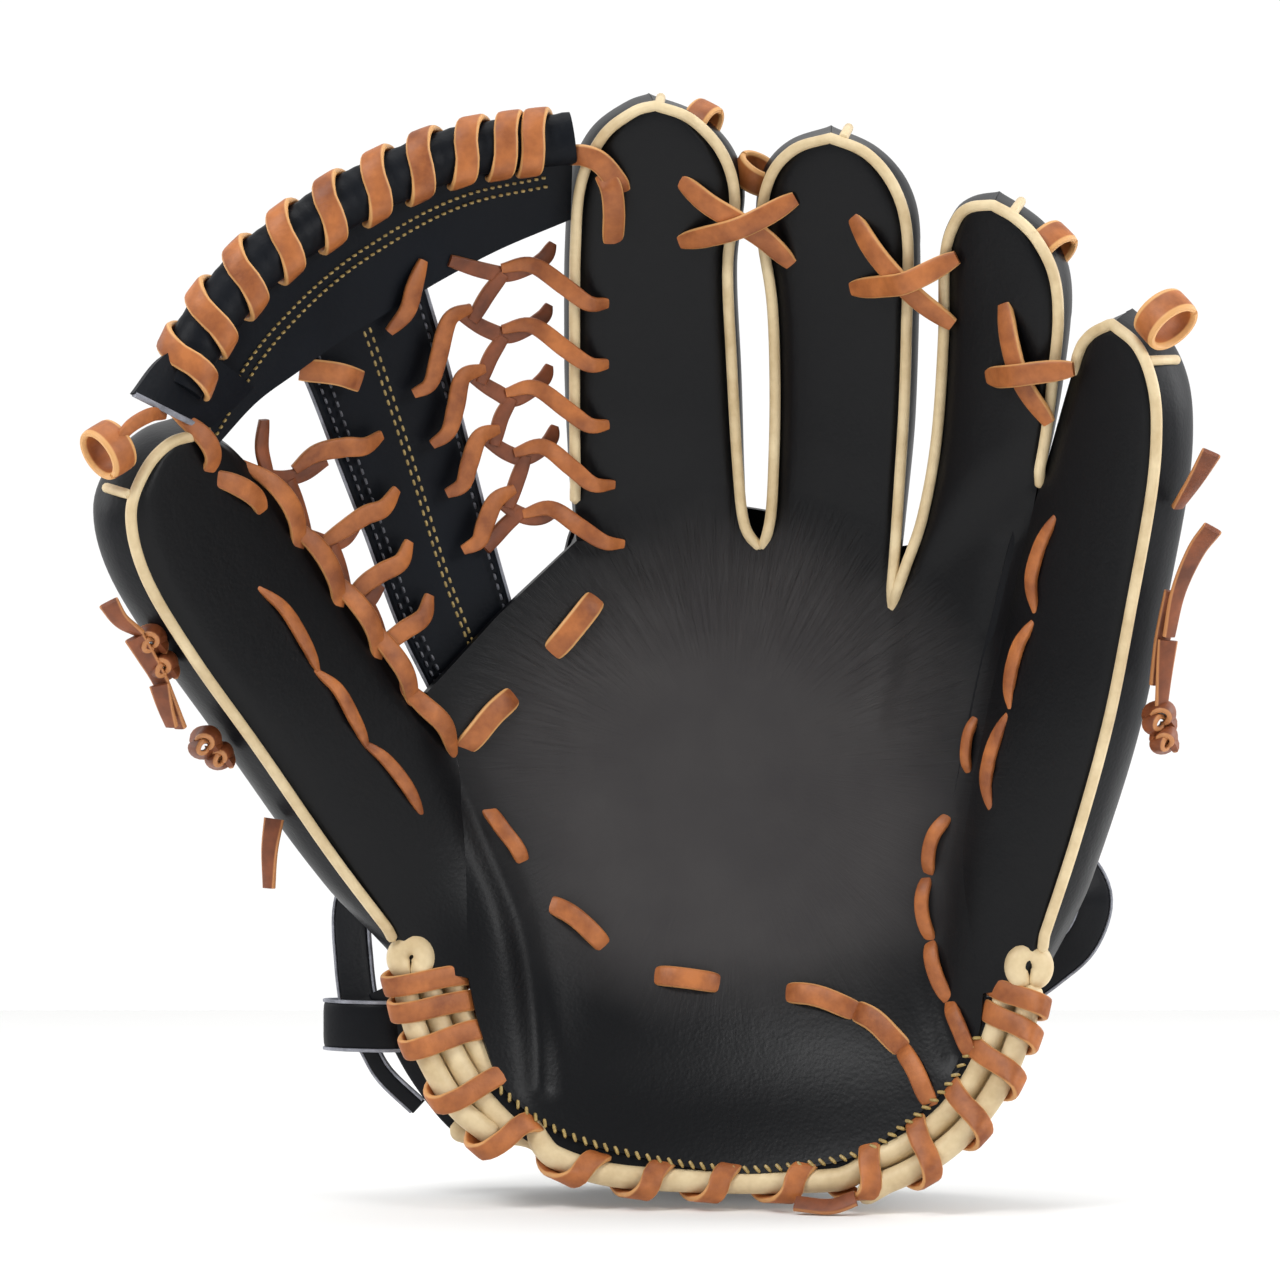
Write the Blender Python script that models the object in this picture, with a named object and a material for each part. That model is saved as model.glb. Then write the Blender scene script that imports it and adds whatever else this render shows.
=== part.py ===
"""A five-finger fielder's glove with a laced trapeze web, worn on the left hand.

The glove stands on its heel with its fingers up: +Z is up, the palm faces -Y and the thumb is at -X.
The origin is on the floor, under the middle of the glove.
Pieces are drawn on a flat pattern (x across, z up, in pattern millimetres) and then lifted onto the
cupped shape of the open glove by front_depth().
"""

import math

import bmesh
import bpy
import numpy as np
from mathutils import Vector

MM = 0.001

# Overall sizes, and the pattern that the outlines are drawn on.
SPAN = 292 * MM
HEIGHT = 308 * MM
PATTERN_SPAN = 292
PATTERN_HEIGHT = 308
CENTRE_X = 1.2 * MM
CENTRE_Y = 8.85 * MM

# The cupped shape of the open glove.
POCKET_BACK = 11 * MM
CUP_RISE = 70 * MM
CUP_HALF_SPAN = 125
HEEL_CUP_SHARE = 0.62
FULL_CUP_Z = 150
HEEL_RISE = 28 * MM
HEEL_TOP_Z = 120
TIP_CURL = 38 * MM
CURL_START_Z = 150
CURL_LENGTH_Z = 150

# Leather, felt and cords.
LEATHER = 3.0 * MM
LINING = 1.8 * MM
FELT_HEEL = 6.0 * MM
FELT_POCKET = 2.5 * MM
WELT_RADIUS = 1.6 * MM
LACE_WIDTH = 6.2 * MM
LACE_THICKNESS = 2.4 * MM
ROLL_RADIUS = 3.4 * MM
BAR_RADIUS = 5.6 * MM
GAP = 0.4 * MM

# The back of the hand and the wrist.
HAND_DEPTH = 42 * MM
SIDE_DEPTH = 27 * MM
KNUCKLE_DEPTH = 33 * MM
HAND_CENTRE_X = 24
HAND_HALF_X = 70
CUFF_CENTRE_X = 20
CUFF_HALF_X = 92
CUFF_THUMB_Y = 6 * MM
CUFF_LITTLE_Y = -16 * MM
CUFF_DEPTH = 55 * MM
CUFF_ROUNDNESS = 0.75
CUFF_HEIGHT = 50
CUFF_END_RISE = 19
STRAP_LOW = 12
STRAP_HEIGHT = 30
STRAP_THICKNESS = 2.6 * MM
PATCH_THICKNESS = 1.2 * MM
TAB_PROUD = 2 * STRAP_THICKNESS + 2 * PATCH_THICKNESS + 7 * GAP
TAB_ANGLE = 66
SIDE_STRAP_WIDTH = 11 * MM
KEEPER_WIDTH = 10 * MM
KEEPER_PLACE = (-82.5, 51, 14 * MM)

# The two folds that close the glove, as pattern points, with their depths.
THUMB_FOLD = ((-53, 59), (-24.2, 279))
THUMB_FOLD_Y = -8 * MM
LITTLE_FOLD = ((87, 59), (106.4, 197))
LITTLE_FOLD_Y = (-22 * MM, -42 * MM)
FOLD_GAP = 3.2

# Each stall: its centre line with half widths, the length of its round tip, its depth,
# and how far its back leans sideways.
STALLS = {
    "thumb": dict(
        line=((-63, 82, 13), (-73, 106, 17), (-90, 141, 18.5), (-110, 173, 19), (-120, 194, 17)),
        tip=19, depth=27 * MM, lean=-0.42, crown=2 * MM,
    ),
    "index": dict(
        line=((4, 188, 23), (2, 224, 22), (1, 262, 21), (3, 284, 21.5)),
        tip=21, depth=31 * MM, lean=-0.08, crown=3 * MM,
    ),
    "middle": dict(
        line=((51, 184, 17.5), (53, 224, 17.5), (53, 251, 18), (51.5, 277, 20)),
        tip=19, depth=30 * MM, lean=0.02, crown=3 * MM,
    ),
    "ring": dict(
        line=((89.5, 197, 13.5), (94.5, 224, 14), (96, 250, 14.6), (94.5, 262, 14.6)),
        tip=14.5, depth=28 * MM, lean=0.12, crown=3 * MM,
    ),
    "little": dict(
        line=((101, 76, 11), (103.5, 100, 12.5), (110.5, 136, 13.6), (117, 169, 13.6),
              (122.5, 205, 12), (123.5, 225, 10.5)),
        tip=17, depth=26 * MM, lean=0.36, crown=2 * MM,
    ),
}
SIDE_BULGE = 2.2 * MM
STALL_SQUARENESS = 2.7
TIP_DEPTH_SHARE = 0.72

BLACK, TAN, CREAM, FELT, LINER = "#17171a", "#b4622f", "#dcc6a0", "#8d8a80", "#2b2a2c"


def clear_scene():
    for obj in list(bpy.data.objects):
        bpy.data.objects.remove(obj, do_unlink=True)


def material(name, colour, roughness):
    found = bpy.data.materials.get(name)
    if found:
        return found
    made = bpy.data.materials.new(name)
    made.use_nodes = True
    shader = made.node_tree.nodes["Principled BSDF"]
    values = [int(colour[i:i + 2], 16) / 255 for i in (1, 3, 5)]
    linear = [((v + 0.055) / 1.055) ** 2.4 if v > 0.04045 else v / 12.92 for v in values]
    shader.inputs["Base Color"].default_value = (*linear, 1)
    shader.inputs["Roughness"].default_value = roughness
    shader.inputs["Metallic"].default_value = 0
    return made


def black_leather():
    return material("black_leather", BLACK, 0.45)


def tan_lace():
    return material("tan_lace", TAN, 0.55)


def cream_leather():
    return material("cream_leather", CREAM, 0.5)


def wool_felt():
    return material("wool_felt", FELT, 0.95)


def lining_leather():
    return material("lining_leather", LINER, 0.7)


# The cupped shape --------------------------------------------------------------------------

def smooth(t):
    t = np.clip(t, 0, 1)
    return t * t * (3 - 2 * t)


def cup(x, z):
    """How far the side-to-side cup brings the leather forward."""
    rise = CUP_RISE * (HEEL_CUP_SHARE + (1 - HEEL_CUP_SHARE) * smooth(z / FULL_CUP_Z))
    return rise * (x / CUP_HALF_SPAN) ** 2


def curl(z):
    """How far the fingers curl forward towards their tips."""
    return TIP_CURL * np.clip((z - CURL_START_Z) / CURL_LENGTH_Z, 0, None) ** 2


def heel(z):
    """How far the padded heel comes forward."""
    return HEEL_RISE * np.clip((HEEL_TOP_Z - z) / HEEL_TOP_Z, 0, 1) ** 2


def front_depth(x, z):
    """Depth of the front leather at a pattern point."""
    return POCKET_BACK - cup(x, z) - curl(z) - heel(z)


def back_depth(x, z):
    """Depth of the outside of the back of the hand at a pattern point."""
    across = np.clip(1 - ((x - HAND_CENTRE_X) / HAND_HALF_X) ** 2, 0, 1)
    deep = SIDE_DEPTH + (HAND_DEPTH - SIDE_DEPTH) * across
    knuckle = smooth((z - HEEL_TOP_Z) / (STALLS["index"]["line"][0][1] - HEEL_TOP_Z))
    deep = deep + knuckle * np.minimum(KNUCKLE_DEPTH - deep, 0)
    return POCKET_BACK - cup(x, z) + deep


def lift(x, z, depth):
    """A point of the glove from a pattern point and a depth in metres."""
    x, z, depth = np.broadcast_arrays(np.asarray(x, float), np.asarray(z, float), depth)
    wide, tall = SPAN / PATTERN_SPAN, HEIGHT / PATTERN_HEIGHT
    return np.stack([x * wide + CENTRE_X, depth + CENTRE_Y, z * tall], axis=-1)


def on_surface(flat, proud, behind=0.0):
    """Points proud of the front leather along its normal, and those normals."""
    x, z, step = flat[..., 0], flat[..., 1], 0.5
    slope_x = (front_depth(x + step, z) - front_depth(x - step, z)) / (2 * step * MM)
    slope_z = (front_depth(x, z + step) - front_depth(x, z - step)) / (2 * step * MM)
    normal = unit(np.stack([slope_x, -np.ones_like(x), slope_z], -1))
    return lift(x, z, front_depth(x, z) + behind) + normal * proud, normal


def unit(v):
    return v / np.maximum(np.linalg.norm(v, axis=-1, keepdims=True), 1e-9)


def pattern(length):
    """Metres as pattern millimetres, on the smaller of the two scales."""
    return length / min(SPAN / PATTERN_SPAN, HEIGHT / PATTERN_HEIGHT)


def fold_x(fold, z):
    """Pattern x of a fold line at height z."""
    (x0, z0), (x1, z1) = fold
    return x0 + (x1 - x0) * (z - z0) / (z1 - z0)


# Mesh building -----------------------------------------------------------------------------

def make_object(name, points, faces, finish, pivot=None):
    """A named object from points and faces, with its origin at its pivot's place."""
    points = np.asarray(points, float)
    origin = np.array(pivot.location) if pivot else np.zeros(3)
    mesh = bpy.data.meshes.new(name)
    mesh.from_pydata([tuple(p) for p in points - origin], [], faces)
    build = bmesh.new()
    build.from_mesh(mesh)
    bmesh.ops.remove_doubles(build, verts=build.verts, dist=0.00002)
    bmesh.ops.dissolve_degenerate(build, edges=build.edges, dist=0.00002)
    bmesh.ops.recalc_face_normals(build, faces=build.faces)
    if build.calc_volume(signed=True) < 0:
        bmesh.ops.reverse_faces(build, faces=build.faces)
    build.to_mesh(mesh)
    build.free()
    mesh.shade_smooth()
    mesh.set_sharp_from_angle(angle=math.radians(40))
    mesh.materials.append(finish)
    obj = bpy.data.objects.new(name, mesh)
    bpy.context.scene.collection.objects.link(obj)
    obj.parent = pivot
    return obj


def slab(name, outer, inner, finish, pivot=None, close_end=True):
    """A closed sheet between two grids of the same shape, with its rims filled in."""
    rows, columns = outer.shape[:2]
    count = rows * columns
    index = np.arange(count).reshape(rows, columns)
    quads = np.stack([index[:-1, :-1], index[:-1, 1:], index[1:, 1:], index[1:, :-1]], -1)
    quads = quads.reshape(-1, 4)
    faces = [tuple(q) for q in quads] + [tuple(q[::-1] + count) for q in quads]
    rims = [index[0], index[:, 0][::-1], index[:, -1]]
    if close_end:
        rims.append(index[-1][::-1])
    for rim in rims:
        faces += [(a, a + count, b + count, b) for a, b in zip(rim[:-1], rim[1:])]
    faces = [tuple(int(i) for i in face) for face in faces]
    points = np.concatenate([outer.reshape(-1, 3), inner.reshape(-1, 3)])
    return make_object(name, points, faces, finish, pivot)


def strap(name, points, normals, width, thickness, finish, pivot=None):
    """A flat strap along points, with its broad face square to normals."""
    points = np.asarray(points, float)
    tangent = unit(np.gradient(points, axis=0))
    side = unit(np.cross(tangent, normals))
    up = np.cross(side, tangent)
    corners = [(-1, -1), (1, -1), (1, 1), (-1, 1)]
    ring = np.stack(
        [points + side * a * width / 2 + up * b * thickness / 2 for a, b in corners], axis=1
    )
    count = len(points)
    faces = [(0, 1, 2, 3), tuple(4 * (count - 1) + i for i in (3, 2, 1, 0))]
    for i in range(count - 1):
        for j in range(4):
            a, b = 4 * i + j, 4 * i + (j + 1) % 4
            faces.append((a, b, b + 4, a + 4))
    return make_object(name, ring.reshape(-1, 3), faces, finish, pivot)


def cord(name, points, radius, finish, pivot=None, resolution=2):
    """A round cord: a poly curve with a round bevel and filled caps."""
    origin = np.array(pivot.location) if pivot else np.zeros(3)
    curve = bpy.data.curves.new(name, "CURVE")
    curve.dimensions = "3D"
    curve.bevel_depth = radius
    curve.bevel_resolution = resolution
    curve.use_fill_caps = True
    spline = curve.splines.new("POLY")
    spline.points.add(len(points) - 1)
    for target, p in zip(spline.points, np.asarray(points) - origin):
        target.co = (*p, 1)
    curve.materials.append(finish)
    obj = bpy.data.objects.new(name, curve)
    bpy.context.scene.collection.objects.link(obj)
    obj.parent = pivot
    return obj


def through(points, count):
    """Evenly spaced points on a smooth curve through a few chosen ones."""
    points = np.asarray(points, float)
    padded = np.vstack([2 * points[0] - points[1], points, 2 * points[-1] - points[-2]])
    t = np.linspace(0, 1, 12)[:-1, None]
    found = []
    for a, b, c, d in zip(padded[:-3], padded[1:-2], padded[2:-1], padded[3:]):
        found.append(0.5 * (2 * b + (c - a) * t + (2 * a - 5 * b + 4 * c - d) * t**2
                            + (3 * b - a - 3 * c + d) * t**3))
    dense = np.vstack(found + [points[-1:]])
    along = np.r_[0, np.cumsum(np.linalg.norm(np.diff(dense, axis=0), axis=1))]
    wanted = np.linspace(0, along[-1], count)
    return np.stack([np.interp(wanted, along, dense[:, k]) for k in range(dense.shape[1])], -1)


def patch(bottom, right, top, left):
    """Pattern points inside four edge curves: left and right run up, bottom and top run across."""
    u = np.linspace(0, 1, len(bottom))[None, :, None]
    v = np.linspace(0, 1, len(left))[:, None, None]
    blend = (1 - v) * bottom[None] + v * top[None] + (1 - u) * left[:, None] + u * right[:, None]
    corners = ((1 - u) * (1 - v) * bottom[0] + u * (1 - v) * bottom[-1]
               + (1 - u) * v * top[0] + u * v * top[-1])
    return blend - corners


# Stalls: the finger, thumb and little-finger tubes -------------------------------------------

def stall_plan(stall, s, inset):
    """Centre, half width, across and tangent directions and cap angle of a stall at s in 0..2.

    s runs up the straight part from 0 to 1 and over the round tip from 1 to 2.
    """
    line = np.array(stall["line"], float)
    t = np.linspace(0, 1, len(line))
    straight = np.clip(s, 0, 1)
    fine = through(line, 41)
    centre = np.stack([np.interp(straight, np.linspace(0, 1, 41), fine[:, k]) for k in (0, 1)], -1)
    half = np.interp(straight, np.linspace(0, 1, 41), fine[:, 2])
    step = 0.01
    ahead = np.stack([np.interp(np.clip(straight + step, 0, 1), np.linspace(0, 1, 41), fine[:, k])
                      for k in (0, 1)], -1)
    behind = np.stack([np.interp(np.clip(straight - step, 0, 1), np.linspace(0, 1, 41), fine[:, k])
                       for k in (0, 1)], -1)
    tangent = unit(ahead - behind)
    across = np.stack([tangent[..., 1], -tangent[..., 0]], -1)
    cap = np.clip(s - 1, 0, 1) * math.pi / 2
    tip = stall["tip"] - pattern(inset)
    centre = centre + tangent * (tip * np.sin(cap))[..., None]
    half = (half - pattern(inset)) * np.cos(cap)
    return centre, half, across, tangent, cap


def stations(straight_steps, tip_steps):
    return np.r_[np.linspace(0, 1, straight_steps + 1), 1 + np.linspace(0, 1, tip_steps + 1)[1:]]


def front_panel(stall, inset, crown, steps_across=4, straight_steps=5, tip_steps=4):
    """The crowned front face of a stall, as a grid of points."""
    s = stations(straight_steps, tip_steps)
    centre, half, across, _, cap = stall_plan(stall, s, inset)
    u = np.linspace(-1, 1, steps_across + 1)
    flat = centre[:, None] + across[:, None] * (half[:, None] * u)[..., None]
    rise = crown * (1 - u**2)[None] * np.cos(cap)[:, None] * smooth(s * 2.5)[:, None]
    return lift(flat[..., 0], flat[..., 1], front_depth(flat[..., 0], flat[..., 1]) - rise)


def back_shell(stall, inset, start, steps_round=10, straight_steps=5, tip_steps=4):
    """The sides and back of a stall, from its left front edge round to its right one."""
    s = stations(straight_steps, tip_steps)
    centre, half, across, tangent, cap = stall_plan(stall, s, inset)
    left, right = centre - across * half[:, None], centre + across * half[:, None]
    left = lift(left[:, 0], left[:, 1], front_depth(left[:, 0], left[:, 1]))
    right = lift(right[:, 0], right[:, 1], front_depth(right[:, 0], right[:, 1]))
    middle, reach = (left + right) / 2, (right - left) / 2
    angle = np.linspace(0, math.pi, steps_round + 1)
    power = 2 / STALL_SQUARENESS
    sideways = -np.sign(np.cos(angle)) * np.abs(np.cos(angle)) ** power
    backwards = np.abs(np.sin(angle)) ** power
    deep = stall["depth"] - start - inset
    deep = deep * (1 - (1 - TIP_DEPTH_SHARE) * (1 - np.cos(cap)))
    away = unit(np.array([stall["lean"], 1, 0.12]))
    flare = SIDE_BULGE * smooth(s * 2)
    out = (across[:, None] * (sideways * np.ones_like(cap)[:, None])[..., None] * np.cos(cap)[:, None, None]
           + tangent[:, None] * np.sin(cap)[:, None, None])
    out = np.stack([out[..., 0], np.zeros(out.shape[:2]), out[..., 1]], -1)
    return (middle[:, None] + reach[:, None] * sideways[None, :, None]
            + away * (start + deep[:, None] * backwards)[..., None]
            + out * (flare[:, None] * backwards)[..., None])


def edge_line(stall, side_from, side_to, count):
    """Points along a stall's front edge. -1 is its left foot, 0 its tip and 1 its right foot."""
    t = np.linspace(side_from, side_to, count)
    s = 2 - 2 * np.abs(t) ** 0.8
    centre, half, across, _, _ = stall_plan(stall, s, 0)
    flat = centre + across * (half * np.sign(t))[:, None]
    return lift(flat[:, 0], flat[:, 1], front_depth(flat[:, 0], flat[:, 1]) + WELT_RADIUS)


def make_stall(name, pivot=None, welt=(-0.97, 0.97)):
    """One stall: crowned front leather, back leather with its sides, lining sock edge and welt."""
    stall = STALLS[name]
    inset = WELT_RADIUS + 2 * GAP
    outer = front_panel(stall, inset, stall["crown"])
    away = unit(np.array([stall["lean"], 1, 0.12]))
    slab(name + "_front", outer, outer + away * LEATHER, black_leather(), pivot, close_end=False)
    start = LEATHER + GAP * 2
    shell = back_shell(stall, 0, start)
    lining = back_shell(stall, LEATHER, start)
    slab(name + "_back", shell, lining, black_leather(), pivot, close_end=False)
    cord(name + "_welt", edge_line(stall, *welt, 21), WELT_RADIUS, cream_leather(), pivot, 0)


def make_stay(name, stall_name, share, pivot):
    """The strap loop inside the thumb or little-finger stall that holds the digit."""
    stall = STALLS[stall_name]
    centre, half, across, _, _ = stall_plan(stall, np.array([share]), 0)
    centre, half, across = centre[0], half[0], across[0]
    u = np.linspace(-0.55, 0.55, 9)
    flat = centre + across * (half * u)[:, None]
    bow = LEATHER + 4 * GAP + LINING / 2 + stall["depth"] * 0.45 * (1 - (u / u[-1]) ** 2)
    away = unit(np.array([stall["lean"], 1, 0.0]))
    front = lift(flat[:, 0], flat[:, 1], front_depth(flat[:, 0], flat[:, 1]))
    strap(name, front + away * bow[:, None], np.broadcast_to(away, front.shape),
          2 * LACE_WIDTH, LINING, lining_leather(), pivot)


# The palm ----------------------------------------------------------------------------------

HEEL_LINE = ((-61, 57.9), (-57, 41.9), (-48, 24.9), (-34, 10.9), (-15, 2.4), (8, 0), (40, 0),
             (62, 2.9), (80, 12.9), (92, 26.9), (98, 43.9), (100, 57.9))
HEEL_FLOOR_GAP = 0.7 * MM
PALM_TOP = ((-25, 183), (0, 182), (30, 180), (50, 178.5), (68, 178.5), (86, 190), (101.5, 191))


def heel_path(count):
    """The middle of the heel binding, as high as its wraps of lace need to stand on the floor."""
    high = ROLL_RADIUS + LACE_THICKNESS + 4 * GAP + HEEL_FLOOR_GAP
    return through(HEEL_LINE, count) + np.array([0, high * PATTERN_HEIGHT / HEIGHT])


def bundle_half(t):
    """Pattern half width of the bundle of rolls along the heel: wide at both ends, single between."""
    single = pattern(ROLL_RADIUS + GAP)
    return single + pattern(ROLL_RADIUS) * (2.1 * smooth((0.29 - t) / 0.06) + 1.1 * smooth((t - 0.63) / 0.06))


def palm_outline(columns, rows, inset):
    """The palm's four pattern edges, inset from the heel bundle, the finger feet and the folds."""
    t = np.linspace(0.02, 0.985, columns)
    path = heel_path(200)
    spots = np.stack([np.interp(t, np.linspace(0, 1, 200), path[:, k]) for k in (0, 1)], -1)
    tangent = unit(np.gradient(spots, axis=0))
    inward = np.stack([-tangent[:, 1], tangent[:, 0]], -1)
    clear = bundle_half(t) + pattern(LACE_THICKNESS + 8 * GAP) + inset
    bottom = spots + inward * clear[:, None]
    top = through(PALM_TOP, columns) - np.array([0, inset])
    z_left = np.linspace(bottom[0, 1], 158 - inset, rows)
    left_fold = fold_x(THUMB_FOLD, z_left) + FOLD_GAP + inset
    left = through([bottom[0], (left_fold[rows // 3], z_left[rows // 3]),
                    (left_fold[2 * rows // 3], z_left[2 * rows // 3]),
                    (left_fold[-1], z_left[-1]), top[0]], rows)
    z_right = np.linspace(bottom[-1, 1], top[-1, 1], rows)
    right_x = fold_x(LITTLE_FOLD, z_right) - FOLD_GAP - inset
    right = np.stack([right_x, z_right], -1)
    bottom = bottom + (right[0] - bottom[-1]) * np.linspace(0, 1, columns)[:, None] ** 3
    top = top + (right[-1] - top[-1]) * np.linspace(0, 1, columns)[:, None] ** 3
    return patch(bottom, right, top, left)


def felt_at(z):
    return FELT_POCKET + (FELT_HEEL - FELT_POCKET) * smooth((HEEL_TOP_Z - z) / HEEL_TOP_Z)


def make_palm():
    flat = palm_outline(17, 13, 0)
    depth = front_depth(flat[..., 0], flat[..., 1])
    outer = lift(flat[..., 0], flat[..., 1], depth)
    slab("palm_shell", outer, outer + (0, LEATHER, 0), black_leather())
    flat = palm_outline(13, 10, 3)
    depth = front_depth(flat[..., 0], flat[..., 1]) + LEATHER + GAP * 2
    felt = felt_at(flat[..., 1])
    front = lift(flat[..., 0], flat[..., 1], depth)
    back = lift(flat[..., 0], flat[..., 1], depth + felt)
    slab("palm_felt", front, back, wool_felt())
    front = lift(flat[..., 0], flat[..., 1], depth + felt + GAP * 2)
    slab("palm_lining", front, front + (0, LINING, 0), lining_leather())


# The heel ----------------------------------------------------------------------------------

def heel_frame(count):
    """Points down the middle of the heel binding, with their outward directions on the pattern."""
    flat = heel_path(count)
    tangent = unit(np.gradient(flat, axis=0))
    outward = np.stack([tangent[:, 1], -tangent[:, 0]], -1)
    return flat, outward


def make_heel():
    """The rolled binding round the heel: one roll all round, and more beside it at both ends."""
    count = 48
    flat, outward = heel_frame(count)
    t = np.linspace(0, 1, count)
    pitch = pattern(2 * ROLL_RADIUS + GAP)
    ends = smooth((0.27 - t) / 0.06)
    right = smooth((t - 0.64) / 0.06)
    main = flat - outward * (pitch * (ends + 0.5 * right))[:, None]
    lines = {"heel_roll": (main, t >= 0), "heel_roll_thumb_middle": (flat, t < 0.19),
             "heel_roll_thumb_outer": (flat + outward * pitch, t < 0.17),
             "heel_roll_little_outer": (flat + outward * pitch * 0.5, t > 0.71)}
    for name, (line, kept) in lines.items():
        part = line[kept]
        depth = front_depth(part[:, 0], part[:, 1]) + ROLL_RADIUS
        cord(name, lift(part[:, 0], part[:, 1], depth), ROLL_RADIUS, cream_leather(), None, 1)


def rounded_square(wave):
    """A cosine or sine made flatter, so that a turn of lace is a rounded rectangle."""
    return np.sign(wave) * np.abs(wave) ** 0.5


def make_heel_lace():
    """The lace that wraps the heel binding from end to end."""
    turns, per_turn = 13, 12
    count = turns * per_turn
    flat, outward = heel_frame(count)
    t = np.linspace(0, 1, count)
    wide = bundle_half(t) + pattern(LACE_THICKNESS / 2 + 3 * GAP)
    deep = ROLL_RADIUS + LACE_THICKNESS / 2 + 4 * GAP
    angle = np.linspace(0, turns * 2 * math.pi, count)
    beside = wide * rounded_square(np.cos(angle))
    place = flat + outward * beside[:, None]
    depth = front_depth(place[:, 0], place[:, 1]) + ROLL_RADIUS + deep * rounded_square(np.sin(angle))
    points = lift(place[:, 0], place[:, 1], depth)
    normal = np.stack([outward[:, 0] * np.cos(angle), np.sin(angle), outward[:, 1] * np.cos(angle)], -1)
    strap("heel_lace", points, normal, LACE_WIDTH, LACE_THICKNESS, tan_lace())


# The web -----------------------------------------------------------------------------------

BAR_LINE = ((-127, 226), (-119.5, 243), (-105, 261), (-87, 275.5), (-68, 286.5), (-49, 293.5), (-29, 297))
FLAP_EDGE = ((-110, 207), (-92, 224), (-70, 245), (-57, 258), (-42, 267), (-28.5, 272))
POST = ((-90, 224), (-64, 248), (-45, 168), (-60, 150))


def web_depth(x, z):
    """The web hangs a little behind the cup, like a pocket."""
    return front_depth(x, z) + LEATHER


def make_web(pivot):
    line = through(BAR_LINE, 22)
    centre = lift(line[:, 0], line[:, 1], web_depth(line[:, 0], line[:, 1]))
    cord("web_bar", centre, BAR_RADIUS, black_leather(), pivot)
    make_bar_lace(pivot)
    make_flap(pivot)
    make_post(pivot)
    make_nets(pivot)


def inward_of(line):
    tangent = unit(np.gradient(line, axis=0))
    return np.stack([tangent[:, 1], -tangent[:, 0]], -1)


def make_bar_lace(pivot):
    """The lace wound round the top bar of the web."""
    turns, per_turn = 10, 12
    count = turns * per_turn
    line = through(BAR_LINE, count + 12)[6:-6]
    inward = inward_of(line)
    radius = BAR_RADIUS + LACE_THICKNESS / 2 + 4 * GAP
    angle = np.linspace(0, turns * 2 * math.pi, count)
    place = line + inward * (pattern(radius) * 1.04 * np.cos(angle))[:, None]
    depth = web_depth(line[:, 0], line[:, 1]) + radius * 1.06 * np.sin(angle)
    normal = np.stack([inward[:, 0] * np.cos(angle), np.sin(angle), inward[:, 1] * np.cos(angle)], -1)
    strap("web_bar_lace", lift(place[:, 0], place[:, 1], depth), normal,
          LACE_WIDTH, LACE_THICKNESS, tan_lace(), pivot)


def make_flap(pivot):
    """The flat leather that hangs from the bar."""
    top = through(BAR_LINE, 14)
    clear = pattern(BAR_RADIUS + LACE_THICKNESS + 8 * GAP)
    top = top + inward_of(top) * clear
    bottom = through(FLAP_EDGE, 14)
    steps = np.linspace(0, 1, 4)[:, None, None]
    flat = top * (1 - steps) + bottom * steps
    outer = lift(flat[..., 0], flat[..., 1], web_depth(flat[..., 0], flat[..., 1]) - LEATHER / 2)
    slab("web_flap", outer, outer + (0, LEATHER, 0), black_leather(), pivot)


def make_post(pivot):
    """The centre post, from behind the flap down to the palm."""
    a, b, c, d = (np.array(p, float) for p in POST)
    u = np.linspace(0, 1, 5)[None, :, None]
    v = np.linspace(0, 1, 10)[:, None, None]
    flat = (a * (1 - u) + b * u) * (1 - v) + (d * (1 - u) + c * u) * v
    outer = lift(flat[..., 0], flat[..., 1],
                 web_depth(flat[..., 0], flat[..., 1]) + LEATHER * 0.5 + GAP)
    slab("web_post", outer, outer + (0, LEATHER, 0), black_leather(), pivot)


def zigzag(first, second, hooks):
    """A path that swings between two pattern lines, with rounded turns."""
    first, second = through(first, hooks), through(second, hooks)
    points = np.empty((2 * hooks, 2))
    points[0::2], points[1::2] = first, second
    return through(points, 12 * hooks)


def make_nets(pivot):
    """The lace nets on both sides of the post, and the spine lace down the middle of each."""
    nets = {
        "index": (((-28.5, 262), (-29, 225), (-31, 192)), ((-55, 250), (-50, 215), (-43, 176)), 6),
        "thumb": (((-102, 203), (-91, 184), (-76, 161)), ((-84, 210), (-76, 190), (-66, 165)), 4),
    }
    for side, (outer, inner, hooks) in nets.items():
        front = LEATHER * 0.5 + LACE_THICKNESS / 2 + GAP
        points, normal = on_surface(zigzag(outer, inner, hooks), front, LEATHER)
        strap("web_net_" + side, points, normal, LACE_WIDTH * 0.55, LACE_THICKNESS, tan_lace(), pivot)
        spine = through((np.array(outer) + np.array(inner)) / 2, 10)
        points, normal = on_surface(spine, front + LACE_THICKNESS + 3 * GAP, LEATHER)
        strap("web_spine_" + side, points, normal, LACE_WIDTH, LACE_THICKNESS, tan_lace(), pivot)


def make_gusset(pivot):
    """The palm leather between the thumb and the fold line."""
    z = np.linspace(101, 145, 7)
    right = np.stack([fold_x(THUMB_FOLD, z) - 1.5, z], -1)
    left = through(((-52.5, 101), (-57, 120), (-66.5, 145)), 7)
    share = np.linspace(0, 1, 4)[:, None, None]
    flat = left * (1 - share) + right * share
    outer = lift(flat[..., 0], flat[..., 1], front_depth(flat[..., 0], flat[..., 1]))
    slab("thumb_gusset", outer, outer + (0, LEATHER, 0), black_leather(), pivot)


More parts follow.
